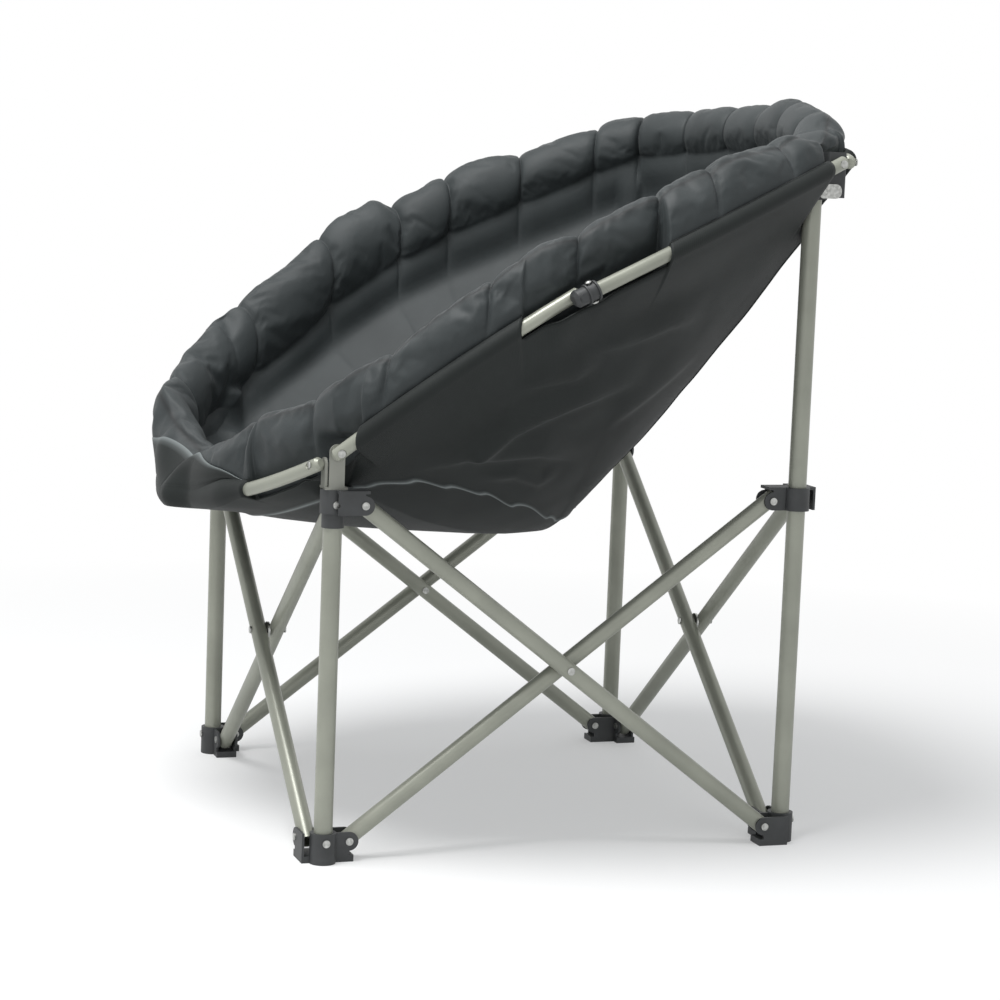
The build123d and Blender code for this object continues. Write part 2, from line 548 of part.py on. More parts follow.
def hub_room():
    """Space kept free in the cloth about a rear hub."""
    low = HUB_CAP_BOTTOM - 3 * UPRIGHT_D
    cap = UPRIGHT_D / 2 + HUB_CAP_WALL + CLOTH_ROOM
    cap_top = REAR_UPRIGHT_TOP + HUB_CAP_WALL + CLOTH_ROOM
    out_x, out_y = HUB_OUT_X + RIM_D, HUB_OUT_Y + RIM_D
    block_x = HUB_OUT_X - HUB_BLOCK - CLOTH_ROOM
    block_y = HUB_OUT_Y - HUB_BLOCK - CLOTH_ROOM
    shape = box(-cap, out_x, -cap, out_y, low, cap_top)
    return shape + box(block_x, out_x, block_y, out_y, low, HUB_BLOCK_TOP + CLOTH_ROOM)


def corner_room(key, hand):
    """Space kept free in a gore about the corner that carries its rim tube."""
    if "front" in key:
        forks = at_corner(fork_room(), "front_left" if hand > 0 else "front_right")
        ears = front_corner * ear_room()
        return forks + (ears if hand > 0 else mirrored(ears))
    hub = rear_corner * hub_room()
    return hub if hand > 0 else mirrored(hub)


for name, key, lap_side, hand in half_tubes():
    path = tube_path(key, lap_side, hand)
    outwards = tube_points(key, hand)[-1]
    parts[name] = rim_tube(path, outwards)
    if lap_side > 0:
        parts[name.split("_")[0] + "_rim_joint"] = middle_sleeve(path, outwards)
    parts[name.replace("rim_tube", "seat_gore")] = gore(key, lap_side, hand) - corner_room(key, hand)


# ---- write one file for each piece ----------------------------------------------------------------------
os.makedirs("parts", exist_ok=True)
for name, shape in parts.items():
    solids = [s for item in (shape if isinstance(shape, list) else [shape]) for s in item.solids()]
    piece = Compound(children=solids) if len(solids) > 1 else solids[0]
    piece.label = name
    export_step(piece, f"parts/{name}.step")
print(len(parts), "nodes")
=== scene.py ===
import bpy
import bmesh
import math
from mathutils import Matrix, Vector, noise


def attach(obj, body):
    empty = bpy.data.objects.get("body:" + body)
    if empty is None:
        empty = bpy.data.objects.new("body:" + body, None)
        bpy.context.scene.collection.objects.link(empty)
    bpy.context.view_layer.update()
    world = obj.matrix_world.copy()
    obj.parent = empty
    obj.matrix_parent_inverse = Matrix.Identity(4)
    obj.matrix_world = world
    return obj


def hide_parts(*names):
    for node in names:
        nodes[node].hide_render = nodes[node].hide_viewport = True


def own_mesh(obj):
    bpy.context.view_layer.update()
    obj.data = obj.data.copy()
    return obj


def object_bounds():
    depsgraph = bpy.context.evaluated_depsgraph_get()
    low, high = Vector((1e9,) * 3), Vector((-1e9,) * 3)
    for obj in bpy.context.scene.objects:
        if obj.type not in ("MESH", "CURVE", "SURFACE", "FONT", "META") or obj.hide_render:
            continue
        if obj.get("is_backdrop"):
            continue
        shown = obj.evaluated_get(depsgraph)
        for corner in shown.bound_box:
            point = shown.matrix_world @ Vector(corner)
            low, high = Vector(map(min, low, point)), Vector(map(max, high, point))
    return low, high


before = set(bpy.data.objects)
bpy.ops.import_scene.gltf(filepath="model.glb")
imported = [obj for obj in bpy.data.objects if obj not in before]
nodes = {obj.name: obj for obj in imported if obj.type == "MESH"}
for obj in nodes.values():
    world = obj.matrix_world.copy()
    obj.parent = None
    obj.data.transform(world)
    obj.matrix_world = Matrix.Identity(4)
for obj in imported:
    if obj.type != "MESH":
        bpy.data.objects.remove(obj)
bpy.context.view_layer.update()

scene = bpy.context.scene


def linear(hexText):  # sRGB hex to the linear colour that Blender wants
    def channel(part):
        c = int(part, 16) / 255
        return c / 12.92 if c <= 0.04045 else ((c + 0.055) / 1.055) ** 2.4
    text = hexText.lstrip("#")
    return tuple(channel(text[i:i + 2]) for i in (0, 2, 4)) + (1.0,)


def smooth(a, b, x):  # 0 below a, 1 above b
    t = min(1.0, max(0.0, (x - a) / (b - a)))
    return t * t * (3 - 2 * t)


# at the photograph's angle
camera = {"eye": (3.1708, -1.0848, 0.811), "yaw": 1.2381, "pitch": -0.1266, "roll": 0.0391, "lens": 95.08}
yaw, pitch, roll = camera["yaw"], camera["pitch"], camera["roll"]
ahead = Vector((-math.cos(pitch) * math.sin(yaw), math.cos(pitch) * math.cos(yaw), math.sin(pitch)))
level = ahead.cross(Vector((0, 0, 1))).normalized()
upright = level.cross(ahead)
right = math.cos(roll) * level + math.sin(roll) * upright
up = -math.sin(roll) * level + math.cos(roll) * upright
cameraData = bpy.data.cameras.new("camera")
cameraData.sensor_width = 36
cameraData.lens = camera["lens"]
cameraObject = bpy.data.objects.new("camera", cameraData)
turned = Matrix((right, up, -ahead)).transposed().to_4x4()
cameraObject.matrix_world = Matrix.Translation(camera["eye"]) @ turned
scene.collection.objects.link(cameraObject)
scene.camera = cameraObject
scene.view_settings.view_transform = "Standard"
print("camera set")


def addNode(tree, kind, settings=None, links=None, at=(0, 0)):  # one node, its values and what feeds it
    node = tree.nodes.new(kind)
    node.location = at
    for key, value in (settings or {}).items():
        if key == "stops":                              # both ends of a colour ramp
            for element, (place, colour) in zip(node.color_ramp.elements, value):
                element.position = place
                element.color = colour
        elif isinstance(key, int) or key in node.inputs:
            node.inputs[key].default_value = value
        else:
            setattr(node, key, value)
    for key, source in (links or {}).items():
        tree.links.new(source, node.inputs[key])
    return node


def newMaterial(name):
    material = bpy.data.materials.new(name)
    material.use_nodes = True
    tree = material.node_tree
    tree.nodes.clear()
    output = addNode(tree, "ShaderNodeOutputMaterial", at=(900, 0))
    return material, tree, output


# colours as they look, and gloss
tubePaint = {"base": "#9a9c90", "shade": "#8b8d82", "roughness": 0.37, "metallic": 0.25}
plateLook = {"base": "#8f9088", "shade": "#7c7d76", "roughness": 0.4, "metallic": 0.3}
plasticLook = {"base": "#2b2d2e", "pale": "#3a3c3d", "roughness": 0.55}
zincLook = {"base": "#c4c5c2", "dull": "#9a9b98", "roughness": 0.34, "dullRoughness": 0.42}
# shell cloth: its own near-black tone, darkened further as painted shade on the shell, which faces outwards
# and down
shellCloth = {"base": "#0f1413", "pale": "#1b201f", "roughness": 0.66, "thread": 0.0016,
              # piping: a painted highlight along the piping, a cord of the same dark cloth; stitch: a dark
              # binding line, deepened as painted shade in the crest's crease
              "piping": "#7a8080", "stitchAndCreaseShade": "#151818"}
rollCloth = {"base": "#2a2f30", "pale": "#3b4041", "roughness": 0.52, "thread": 0.0014,
             # piping: a painted highlight along the piping; stitch: a dark binding line, deepened as painted
             # shade in the crest's crease
             "piping": "#7a8080", "stitchAndCreaseShade": "#17191a"}


def paintedSteel(name, look):
    # powder coat on steel tube: orange peel about 1 mm wide, a soft broad highlight, colour a touch uneven
    material, tree, output = newMaterial(name)
    place = addNode(tree, "ShaderNodeTexCoord", at=(-900, 0))
    cloud = addNode(tree, "ShaderNodeTexNoise", {"Scale": 14.0, "Detail": 4.0},
                    {"Vector": place.outputs["Object"]}, (-700, 200))
    peel = addNode(tree, "ShaderNodeTexNoise", {"Scale": 900.0, "Detail": 2.0},
                   {"Vector": place.outputs["Object"]}, (-700, -200))
    colour = addNode(tree, "ShaderNodeValToRGB",
                     {"stops": [(0.3, linear(look["shade"])), (0.7, linear(look["base"]))]},
                     {0: cloud.outputs["Fac"]}, (-450, 200))
    bump = addNode(tree, "ShaderNodeBump", {"Strength": 0.12, "Distance": 0.0002},
                   {"Height": peel.outputs["Fac"]}, (-200, -200))
    shader = addNode(tree, "ShaderNodeBsdfPrincipled",
                     {"Roughness": look["roughness"], "Metallic": look["metallic"]},
                     {"Base Color": colour.outputs["Color"], "Normal": bump.outputs["Normal"]}, (300, 0))
    tree.links.new(shader.outputs[0], output.inputs[0])
    return material


def mouldedPlastic(name, look):
    # glass filled nylon: near black, with a spark finish of 0.7 mm grains that scatters the light
    material, tree, output = newMaterial(name)
    place = addNode(tree, "ShaderNodeTexCoord", at=(-900, 0))
    grain = addNode(tree, "ShaderNodeTexNoise", {"Scale": 1400.0, "Detail": 2.0},
                    {"Vector": place.outputs["Object"]}, (-700, -200))
    cloud = addNode(tree, "ShaderNodeTexNoise", {"Scale": 30.0, "Detail": 3.0},
                    {"Vector": place.outputs["Object"]}, (-700, 200))
    colour = addNode(tree, "ShaderNodeValToRGB",
                     {"stops": [(0.35, linear(look["base"])), (0.7, linear(look["pale"]))]},
                     {0: cloud.outputs["Fac"]}, (-450, 200))
    bump = addNode(tree, "ShaderNodeBump", {"Strength": 0.25, "Distance": 0.0002},
                   {"Height": grain.outputs["Fac"]}, (-200, -200))
    shader = addNode(tree, "ShaderNodeBsdfPrincipled", {"Roughness": look["roughness"], "IOR": 1.53},
                     {"Base Color": colour.outputs["Color"], "Normal": bump.outputs["Normal"]}, (300, 0))
    tree.links.new(shader.outputs[0], output.inputs[0])
    return material


def zincSteel(name, look):
    # zinc plated steel: bright, mottled over about 4 mm, duller where it is darker
    material, tree, output = newMaterial(name)
    place = addNode(tree, "ShaderNodeTexCoord", at=(-900, 0))
    mottle = addNode(tree, "ShaderNodeTexNoise", {"Scale": 260.0, "Detail": 3.0},
                     {"Vector": place.outputs["Object"]}, (-700, 100))
    colour = addNode(tree, "ShaderNodeValToRGB",
                     {"stops": [(0.3, linear(look["dull"])), (0.7, linear(look["base"]))]},
                     {0: mottle.outputs["Fac"]}, (-450, 200))
    rough = addNode(tree, "ShaderNodeMapRange",
                    {"From Min": 0.3, "From Max": 0.7, "To Min": look["dullRoughness"],
                     "To Max": look["roughness"]},
                    {"Value": mottle.outputs["Fac"]}, (-450, -100))
    shader = addNode(tree, "ShaderNodeBsdfPrincipled", {"Metallic": 1.0},
                     {"Base Color": colour.outputs["Color"], "Roughness": rough.outputs[0]}, (300, 0))
    tree.links.new(shader.outputs[0], output.inputs[0])
    return material


def wovenPolyester(name, look):
    # coated plain weave: threads drawn three times too coarse so that they show, cloudy dye, soft sheen
    material, tree, output = newMaterial(name)
    place = addNode(tree, "ShaderNodeTexCoord", at=(-1300, 0))
    turn = math.pi / look["thread"] / 10
    threads = {"wave_type": "BANDS", "Scale": turn, "Distortion": 0.6, "Detail": 1.0}
    warp = addNode(tree, "ShaderNodeTexWave", {**threads, "bands_direction": "X"},
                   {"Vector": place.outputs["UV"]}, (-1000, 250))
    weft = addNode(tree, "ShaderNodeTexWave", {**threads, "bands_direction": "Y"},
                   {"Vector": place.outputs["UV"]}, (-1000, 0))
    weave = addNode(tree, "ShaderNodeMath", {"operation": "MULTIPLY"},
                    {0: warp.outputs["Fac"], 1: weft.outputs["Fac"]}, (-750, 120))
    cloud = addNode(tree, "ShaderNodeTexNoise", {"Scale": 9.0, "Detail": 6.0, "Roughness": 0.6},
                    {"Vector": place.outputs["Object"]}, (-1000, -250))
    rub = addNode(tree, "ShaderNodeTexNoise", {"Scale": 120.0, "Detail": 4.0},
                  {"Vector": place.outputs["Object"]}, (-1000, -500))
    mixed = addNode(tree, "ShaderNodeMath", {"operation": "MULTIPLY_ADD", 1: 0.35},
                    {0: weave.outputs[0], 2: cloud.outputs["Fac"]}, (-550, 0))
    colour = addNode(tree, "ShaderNodeValToRGB",
                     {"stops": [(0.35, linear(look["base"])), (0.85, linear(look["pale"]))]},
                     {0: mixed.outputs[0]}, (-300, 150))
    # mark: above 0 a painted highlight on the piping, below 0 a dark binding line with painted shade in the
    # crest's crease
    mark = addNode(tree, "ShaderNodeAttribute", {"attribute_name": "mark"}, at=(-1000, 500))
    over = addNode(tree, "ShaderNodeMath", {"operation": "MAXIMUM", 1: 0.0},
                   {0: mark.outputs["Fac"]}, (-750, 550))
    under = addNode(tree, "ShaderNodeMath", {"operation": "MULTIPLY", 1: -0.8},
                    {0: mark.outputs["Fac"]}, (-750, 400))
    # painted highlight on the piping
    pipingHighlight = addNode(tree, "ShaderNodeMix",
                    {"data_type": "RGBA", "clamp_factor": True, 7: linear(look["piping"])},
                    {0: over.outputs[0], 6: colour.outputs["Color"]}, (-50, 350))
    # dark binding line along the crest, with painted shade in its crease
    bindingAndCreaseShade = addNode(tree, "ShaderNodeMix",
                     {"data_type": "RGBA", "clamp_factor": True, 7: linear(look["stitchAndCreaseShade"])},
                     {0: under.outputs[0], 6: pipingHighlight.outputs[2]}, (130, 250))
    height = addNode(tree, "ShaderNodeMath", {"operation": "MULTIPLY_ADD", 1: 0.6},
                     {0: rub.outputs["Fac"], 2: weave.outputs[0]}, (-550, -350))
    bump = addNode(tree, "ShaderNodeBump", {"Strength": 0.35, "Distance": 0.0004},
                   {"Height": height.outputs[0]}, (-200, -350))
    shader = addNode(tree, "ShaderNodeBsdfPrincipled",
                     {"Roughness": look["roughness"], "Sheen Weight": 0.04, "Sheen Roughness": 0.5,
                      "Specular IOR Level": 0.3},
                     {"Base Color": bindingAndCreaseShade.outputs[2], "Normal": bump.outputs["Normal"]}, (300, 0))
    tree.links.new(shader.outputs[0], output.inputs[0])
    return material


powderCoatedTube = paintedSteel("powderCoatedTube", tubePaint)
powderCoatedPlate = paintedSteel("powderCoatedPlate", plateLook)
mouldedNylon = mouldedPlastic("mouldedNylon", plasticLook)
zincPlate = zincSteel("zincPlatedRivet", zincLook)
polyesterShell = wovenPolyester("coatedPolyesterShell", shellCloth)
polyesterRoll = wovenPolyester("quiltedPolyesterRoll", rollCloth)


def dress(obj, material):
    obj.data.materials.clear()
    obj.data.materials.append(material)


def nodeMaterial(name):
    if "rivet" in name:
        return zincPlate
    if name.endswith("rim_bracket"):
        return powderCoatedPlate
    if name.endswith(("foot", "upper_bracket", "tube_bush", "rim_hub", "rim_joint")):
        return mouldedNylon
    if name.endswith("seat_gore"):
        return polyesterRoll
    return powderCoatedTube


for name, node in nodes.items():
    dress(node, nodeMaterial(name))
print("materials made")

# rim as in the part's source, in metres
rim = {
    "sideFront": {"pivot": (0.3113, -0.290, 0.480), "middle": (0.400, -0.045, 0.66684),
                  "corner": (0.3113, -0.3113, 0.472), "bow": (0.021, 0, 0.011), "out": (1, 0, 0)},
    "sideRear": {"pivot": (0.3203, 0.310, 0.826), "middle": (0.400, -0.045, 0.66684),
                 "corner": (0.3203, 0.3303, 0.8275), "bow": (0.017, 0, 0.002), "out": (1, 0, 0)},
    "front": {"pivot": (0.290, -0.3113, 0.464), "middle": (0, -0.400, 0.395),
              "corner": (0.3113, -0.3113, 0.472), "bow": (0, -0.019, -0.015), "out": (0, -1, 0)},
    "rear": {"pivot": (0.300, 0.3303, 0.829), "middle": (0, 0.400, 0.841),
             "corner": (0.3203, 0.3303, 0.8275), "bow": (0, 0.016, 0.003), "out": (0, 1, 0)},
}
lapGap = 0.024
runStep = 0.02                                          # share of a tube over which its direction is taken
# once round the rim from the front middle: body, kind, side of the chair, side of its middle joint, and
# whether it runs from its corner
ring = [("front_left_rim", "front", 1, -1, False), ("left_front_rim", "sideFront", 1, -1, True),
        ("left_rear_rim", "sideRear", 1, 1, False), ("rear_left_rim", "rear", 1, -1, True),
        ("rear_right_rim", "rear", -1, 1, False), ("right_rear_rim", "sideRear", -1, 1, True),
        ("right_front_rim", "sideFront", -1, -1, False), ("front_right_rim", "front", -1, 1, True)]
# the bowl: its lowest point, its padding, how hollow it is to the front, side and back, its edge under the
# rim, and how far apart the sections stand
seat = {"axis": (0, 0.070), "bottom": 0.345, "lining": 0.016, "hollowFront": 2.2, "hollowSide": 1.45,
        "hollowBack": 0.9, "hollowTurn": 1.5, "edgeIn": 0.004, "edgeDown": 0.0125, "ownEdgeFrom": 0.88,
        "spacing": 0.0045}
# the roll's section: its size, how full the puffs are, and the angles of its crest, crease and inner seam
roll = {"wide": 0.033, "innerShare": 1.12, "below": 0.014, "seamSize": 0.76, "square": 3.5, "uneven": 0.5,
        "crestAt": 80, "creaseAt": 81, "creaseSpread": 5, "crease": 0.11, "seamAt": 224,
        "faceSwell": 0.009, "leastSwell": 0.002, "faceCurve": 0.85}
# along each tube from its corner: share, top of the roll above the rim, how far its middle lies inwards
crest = {
    "sideFront": {1: [(0, 0.092, 0.034), (0.2, 0.082, 0.028), (0.5, 0.086, 0.024), (0.8, 0.086, 0.026),
                      (1, 0.074, 0.028)],
                  -1: [(0, 0.112, 0.008), (0.15, 0.115, 0.018), (0.4, 0.108, 0.024), (0.65, 0.115, 0.024),
                       (0.85, 0.107, 0.026), (1, 0.087, 0.028)]},
    "sideRear": {1: [(0, 0.026, 0.050), (0.2, 0.058, 0.034), (0.5, 0.074, 0.024), (1, 0.074, 0.028)],
                 -1: [(0, 0.060, 0.044), (0.15, 0.070, 0.032), (0.4, 0.074, 0.026), (0.7, 0.092, 0.024),
                      (1, 0.087, 0.028)]},
    "front": {1: [(0, 0.092, 0.034), (0.2, 0.084, 0.030), (0.45, 0.088, 0.026), (0.7, 0.070, 0.026),
                  (1, 0.056, 0.028)],
              -1: [(0, 0.112, 0.008), (0.2, 0.102, -0.010), (0.45, 0.108, -0.014), (0.62, 0.108, -0.020),
                   (0.8, 0.080, 0.000), (1, 0.056, 0.028)]},
    "rear": {1: [(0, 0.026, 0.050), (0.12, 0.036, 0.040), (0.35, 0.057, 0.028), (0.8, 0.068, 0.026),
                 (1, 0.060, 0.028)],
             -1: [(0, 0.060, 0.044), (0.3, 0.060, 0.028), (1, 0.060, 0.028)]}}
# where the puffs are sewn down, from the corner; a first value below 0 is a seam beyond the corner
sewn = {"sideFront": {1: (-0.113, 0.20, 0.60, 1), -1: (-0.39, 0.13, 0.57, 1)},
        "sideRear": {1: (0, 0.23, 0.52, 0.71, 1), -1: (0, 0.18, 0.48, 0.78, 1)},
        "front": {1: (-0.21, 0.12, 0.47, 1), -1: (-0.14, 0.42, 1)},
        "rear": {1: (0, 0.36, 0.68, 1), -1: (0, 0.31, 0.66, 1)}}
# the sleeve round the tube: its two ends, and how much of the roll's face its cloth covers at the middle
sleeve = {"sideFront": {"corner": 0.12, "middle": 0.75, "top": 0.0},
          "sideRear": {"corner": 0.10, "middle": 0.70, "top": 0.0},
          "front": {"corner": 0.42, "middle": 1.1, "top": 0.86},
          "rear": {"corner": 0.16, "middle": 0.74, "top": 0.0}}
# share of the way from the bowl's middle to the rim where the base panel is sewn on, along each tube
baseSeam = {"front": [(0, 0.88), (1, 0.84)],
            "sideFront": [(0, 0.88), (0.05, 0.85), (0.17, 0.78), (0.27, 0.68), (0.4, 0.57), (0.55, 0.43),
                          (1, 0.22)],
            "sideRear": [(0, 0.11), (0.7, 0.14), (1, 0.22)],
            "rear": [(0, 0.11), (1, 0.11)]}
# columns of each section, and the closely spaced ones where the eight linings meet
columns = {"lining": 28, "pillow": 28, "face": 16, "back": 20, "cover": 9, "hem": 22, "shellHigh": 58,
           "shellLow": 14}
eyeShares = [0.001, 0.004, 0.014]
crestColumn = columns["lining"] - 1 + columns["pillow"]
ridgeSteps = (0.55, 0.25, 0, -0.25, -0.55, -1)         # columns across the base panel's seam
pipingColumn = columns["hem"] + columns["shellHigh"] + 1 + ridgeSteps.index(0)


def tubeAt(index, share):  # centre line of a rim tube, share counted from its corner
    _, kind, hand, lap, _ = ring[index]
    r = rim[kind]
    a = Vector(r["pivot"])
    b = Vector(r["middle"]) + Vector(r["out"]) * (lap * lapGap / 2)
    p = a.lerp(b, share) + Vector(r["bow"]) * (4 * share * (1 - share))
    return Vector((p.x * hand, p.y, p.z)), Vector((b.x * hand, b.y, b.z))


def between(table, share):  # values of a table at a share, eased between its rows
    for low, high in zip(table, table[1:]):
        if share <= high[0] + 1e-6:
            t = smooth(low[0], high[0], share)
            return [a + (b - a) * t for a, b in zip(low[1:], high[1:])]
    return list(table[-1][1:])


def station(index, share):  # what a section needs to know on one tube at one share of its length
    _, kind, hand, lap, _ = ring[index]
    tube, end = tubeAt(index, share)
    r = rim[kind]
    pivot, corner, middle = (Vector((x * hand, y, z)) for x, y, z in (r["pivot"], r["corner"], r["middle"]))
    point = tube + (corner - pivot) * (1 - share) ** 2 + (middle - end) * share
    axis = Vector((seat["axis"][0], seat["axis"][1], 0))
    out = Vector((point.x, point.y, 0)) - axis
    reach = out.length
    out.normalize()
    target = seat["hollowBack"] if out.y > 0 else seat["hollowFront"]
    hollow = seat["hollowSide"] + (target - seat["hollowSide"]) * abs(out.y) ** seat["hollowTurn"]
    height, inwards = between(crest[kind][hand], share)
    seams = sewn[kind][hand]
    puff = next(i for i in range(len(seams) - 1) if share <= seams[i + 1] + 1e-6)
    t = (share - seams[puff]) / (seams[puff + 1] - seams[puff])
    uneven = roll["uneven"] * noise.noise((puff * 3.1, hand * 2.3, len(seams))) * share * (1 - share)
    full = max(0, 1 - abs(2 * t - 1) ** roll["square"]) ** 0.5 * (1 + uneven)
    inSleeve = sleeve[kind]["corner"] < share < sleeve[kind]["middle"]
    seam, = between(baseSeam[kind], share)
    cover = smooth(*hem["bridge"], share) if kind == "front" else 0
    before, after = max(0, share - runStep), min(1, share + runStep)
    run = (tubeAt(index, after)[0] - tubeAt(index, before)[0]).normalized()
    across = Vector((-out.y, out.x, 0))
    hit = tube - run * ((tube - point).dot(across) / run.dot(across))  # where the section cuts the tube
    return {"kind": kind, "share": share, "axis": axis, "out": out, "reach": reach, "z": point.z,
            "hollow": hollow, "height": height, "inwards": inwards, "full": full, "seam": seam,
            "sleeve": inSleeve, "cover": cover, "run": run, "tubeS": (hit - point).dot(out),
            "tubeZ": hit.z - point.z}


def placeAt(st, s, z):
    p = st["axis"] + st["out"] * (st["reach"] + s)
    return Vector((p.x, p.y, st["z"] + z))


# radii that the cloth keeps round the rim tube
tubeRoom = {"inSleeve": 0.0095, "bare": 0.014, "shell": 0.0125, "lapFrom": 0.9, "lapExtra": 0.002}


def clearOf(st, s, z, radius):  # pushes a point inwards, off the rim tube and off the lapping ends
    centres = [(st["tubeS"], st["tubeZ"], radius)]
    if st["share"] > tubeRoom["lapFrom"]:
        lapRadius = radius + tubeRoom["lapExtra"]
        centres += [(-lapGap / 2, 0, lapRadius), (lapGap / 2, 0, lapRadius)]
    runOut, runUp = st["run"].dot(st["out"]), st["run"].z
    for cs, cz, r in centres:
        dz = z - cz
        a = 1 - runOut * runOut
        b = -2 * runOut * runUp * dz
        c = dz * dz * (1 - runUp * runUp) - r * r
        inside = b * b - 4 * a * c
        if inside <= 0:
            continue
        near = cs + (-b - math.sqrt(inside)) / (2 * a)
        beyond = cs + (-b + math.sqrt(inside)) / (2 * a)
        if near < s < beyond:
            s = near
    return s, z


# uprights with their brackets, left side only: axis, radius, and heights where the cloth keeps inside them
posts = {"frontBracket": (0.290, -0.290, 0.0225, 0.400, 0.495),
         "rearUpright": (0.290, 0.290, 0.0150, 0.300, 0.783),
         "rearCap": (0.290, 0.290, 0.0210, 0.775, 0.803),
         "rearBlock": (0.300, 0.310, 0.0215, 0.775, 0.844)}
# bars' forks under the front corner, left side only: low and high x and y, and the height to pass over them
forks = [(0.287, 0.316, -0.300, -0.246, 0.4400), (0.246, 0.300, -0.316, -0.287, 0.4400)]
# over which lengths the cloth gives way to them, and how deep inside it no longer does
passing = {"below": 0.02, "above": 0.006, "postDepth": 0.06, "forkEdge": (0.002, 0.016), "forkDepth": 0.04}


def clearOfFrame(p, st, room):  # keeps the cloth inside the uprights and over the forks
    x = abs(p.x)
    outX, outY = abs(st["out"].x), st["out"].y
    for cx, cy, radius, low, high in posts.values():
        fade = smooth(low - passing["below"], low, p.z) * (1 - smooth(high, high + passing["above"], p.z))
        r = radius + room
        if fade <= 0 or (cy > 0) != (p.y > 0):
            continue
        dx, dy = x - cx, p.y - cy
        b = dx * outX + dy * outY
        inside = b * b - (dx * dx + dy * dy - r * r)
        if inside <= 0:
            continue
        step = b + math.sqrt(inside)
        if step > 0 and b - math.sqrt(inside) < passing["postDepth"]:
            p = p - st["out"] * (step * fade)
            x = abs(p.x)
    for x0, x1, y0, y1, top in forks:
        edge = max(x0 - x, x - x1, y0 - p.y, p.y - y1, 0)
        lift = (top + room - p.z) * (1 - smooth(*passing["forkEdge"], edge))
        if lift > 0 and p.z > top - passing["forkDepth"]:
            p = p + Vector((0, 0, lift))
    return p


def bowlLine(st, w, start, lift):  # from the bowl's middle at w 0 to a start point under the rim at w 1
    rimS, rimZ = -seat["edgeIn"], -seat["edgeDown"]
    s = -st["reach"] + (st["reach"] + rimS) * w
    low = seat["bottom"] + lift - st["z"]
    z = low + (rimZ - low) * w ** st["hollow"]
    own = smooth(seat["ownEdgeFrom"], 1.0, w)
    return s + (start[0] - rimS) * own, z + (start[1] - rimZ) * own


def rollPoint(st, angle):  # inner side of the roll, round an oval whose size drops at the seams
    size = roll["seamSize"] + (1 - roll["seamSize"]) * st["full"]
    half = (st["height"] + roll["below"]) / 2
    turn = math.radians(angle)
    crease = 1 - roll["crease"] * math.exp(-((angle - roll["creaseAt"]) / roll["creaseSpread"]) ** 2)
    wide = roll["wide"] * (roll["innerShare"] if angle > 90 else 1)
    s = -st["inwards"] + wide * size * crease * math.cos(turn)
    return s, st["height"] - half + half * size * crease * math.sin(turn)


# sleeve round the tube: radius, where its cloth ends below and above in radians, and how the front's differs
hem = {"radius": 0.0115, "frontRadius": 0.0195, "frontWidens": (0.42, 0.60), "lowTurn": -0.9, "topTurn": 1.65,
       "frontTurnsDown": 1.25, "frontDownOver": (0.42, 0.80), "riseOver": (0.42, 0.95),
       "bridge": (0.84, 0.96)}
# cloth's edge where the tube is bare: by the middle joint, and at the front and rear corners
bare = {"out": 0.002, "down": 0.0135, "lapOver": (0.80, 0.98), "lapDown": 0.004, "lapDownOver": (0.85, 0.93),
        "frontIn": 0.036, "rearIn": 0.058, "cornerDown": 0.010, "sleeveIn": 0.010}


def hemRadius(st):
    if st["kind"] != "front":
        return hem["radius"]
    return hem["radius"] + (hem["frontRadius"] - hem["radius"]) * smooth(*hem["frontWidens"], st["share"])


def hemTop(st):  # turn at which the roll's face meets the sleeve
    down = smooth(*hem["frontDownOver"], st["share"]) if st["kind"] == "front" else 0
    return hem["topTurn"] - hem["frontTurnsDown"] * down


def hemPoint(st, turn, less=0.0):  # on the sleeve round the rim tube, turn 0 outwards and a quarter turn up
    cs = st["tubeS"] + (lapGap / 2 - st["tubeS"]) * st["cover"]
    cz = st["tubeZ"] * (1 - st["cover"])
    run, out = st["run"], st["out"]
    aside = Vector((run.y, -run.x, 0)).normalized()
    if aside.dot(out) < 0:
        aside = -aside
    above = run.cross(aside)
    if above.z < 0:
        above = -above
    p = (aside * math.cos(turn) + above * math.sin(turn)) * (hemRadius(st) - less)
    across = Vector((-out.y, out.x, 0))
    p = p - run * (across.dot(p) / across.dot(run))
    return cs + p.dot(out), cz + p.z


def hemStart(st):  # where the bowl's cloth leaves the tube, or its edge where there is no sleeve
    if st["sleeve"]:
        return hemPoint(st, hem["lowTurn"])
    if st["share"] > 0.5:
        own = 1 - smooth(*bare["lapOver"], st["share"])
        lower = bare["lapDown"] * smooth(*bare["lapDownOver"], st["share"])
        return st["tubeS"] * own + bare["out"], st["tubeZ"] * own - bare["down"] - lower
    away = 1 - smooth(0, sleeve[st["kind"]]["corner"], st["share"])
    inwards = bare["frontIn"] if st["out"].y < 0 else bare["rearIn"]
    s = (st["tubeS"] - bare["sleeveIn"]) * (1 - away) - inwards * away
    return s, (st["tubeZ"] - bare["down"]) * (1 - away) - bare["cornerDown"] * away


# foot of the roll's face: how far into the sleeve, its place by a middle joint, and from a bare edge
faceFoot = {"inSleeve": 0.002, "middle": (-0.026, -0.004), "corner": (-0.004, 0.016)}


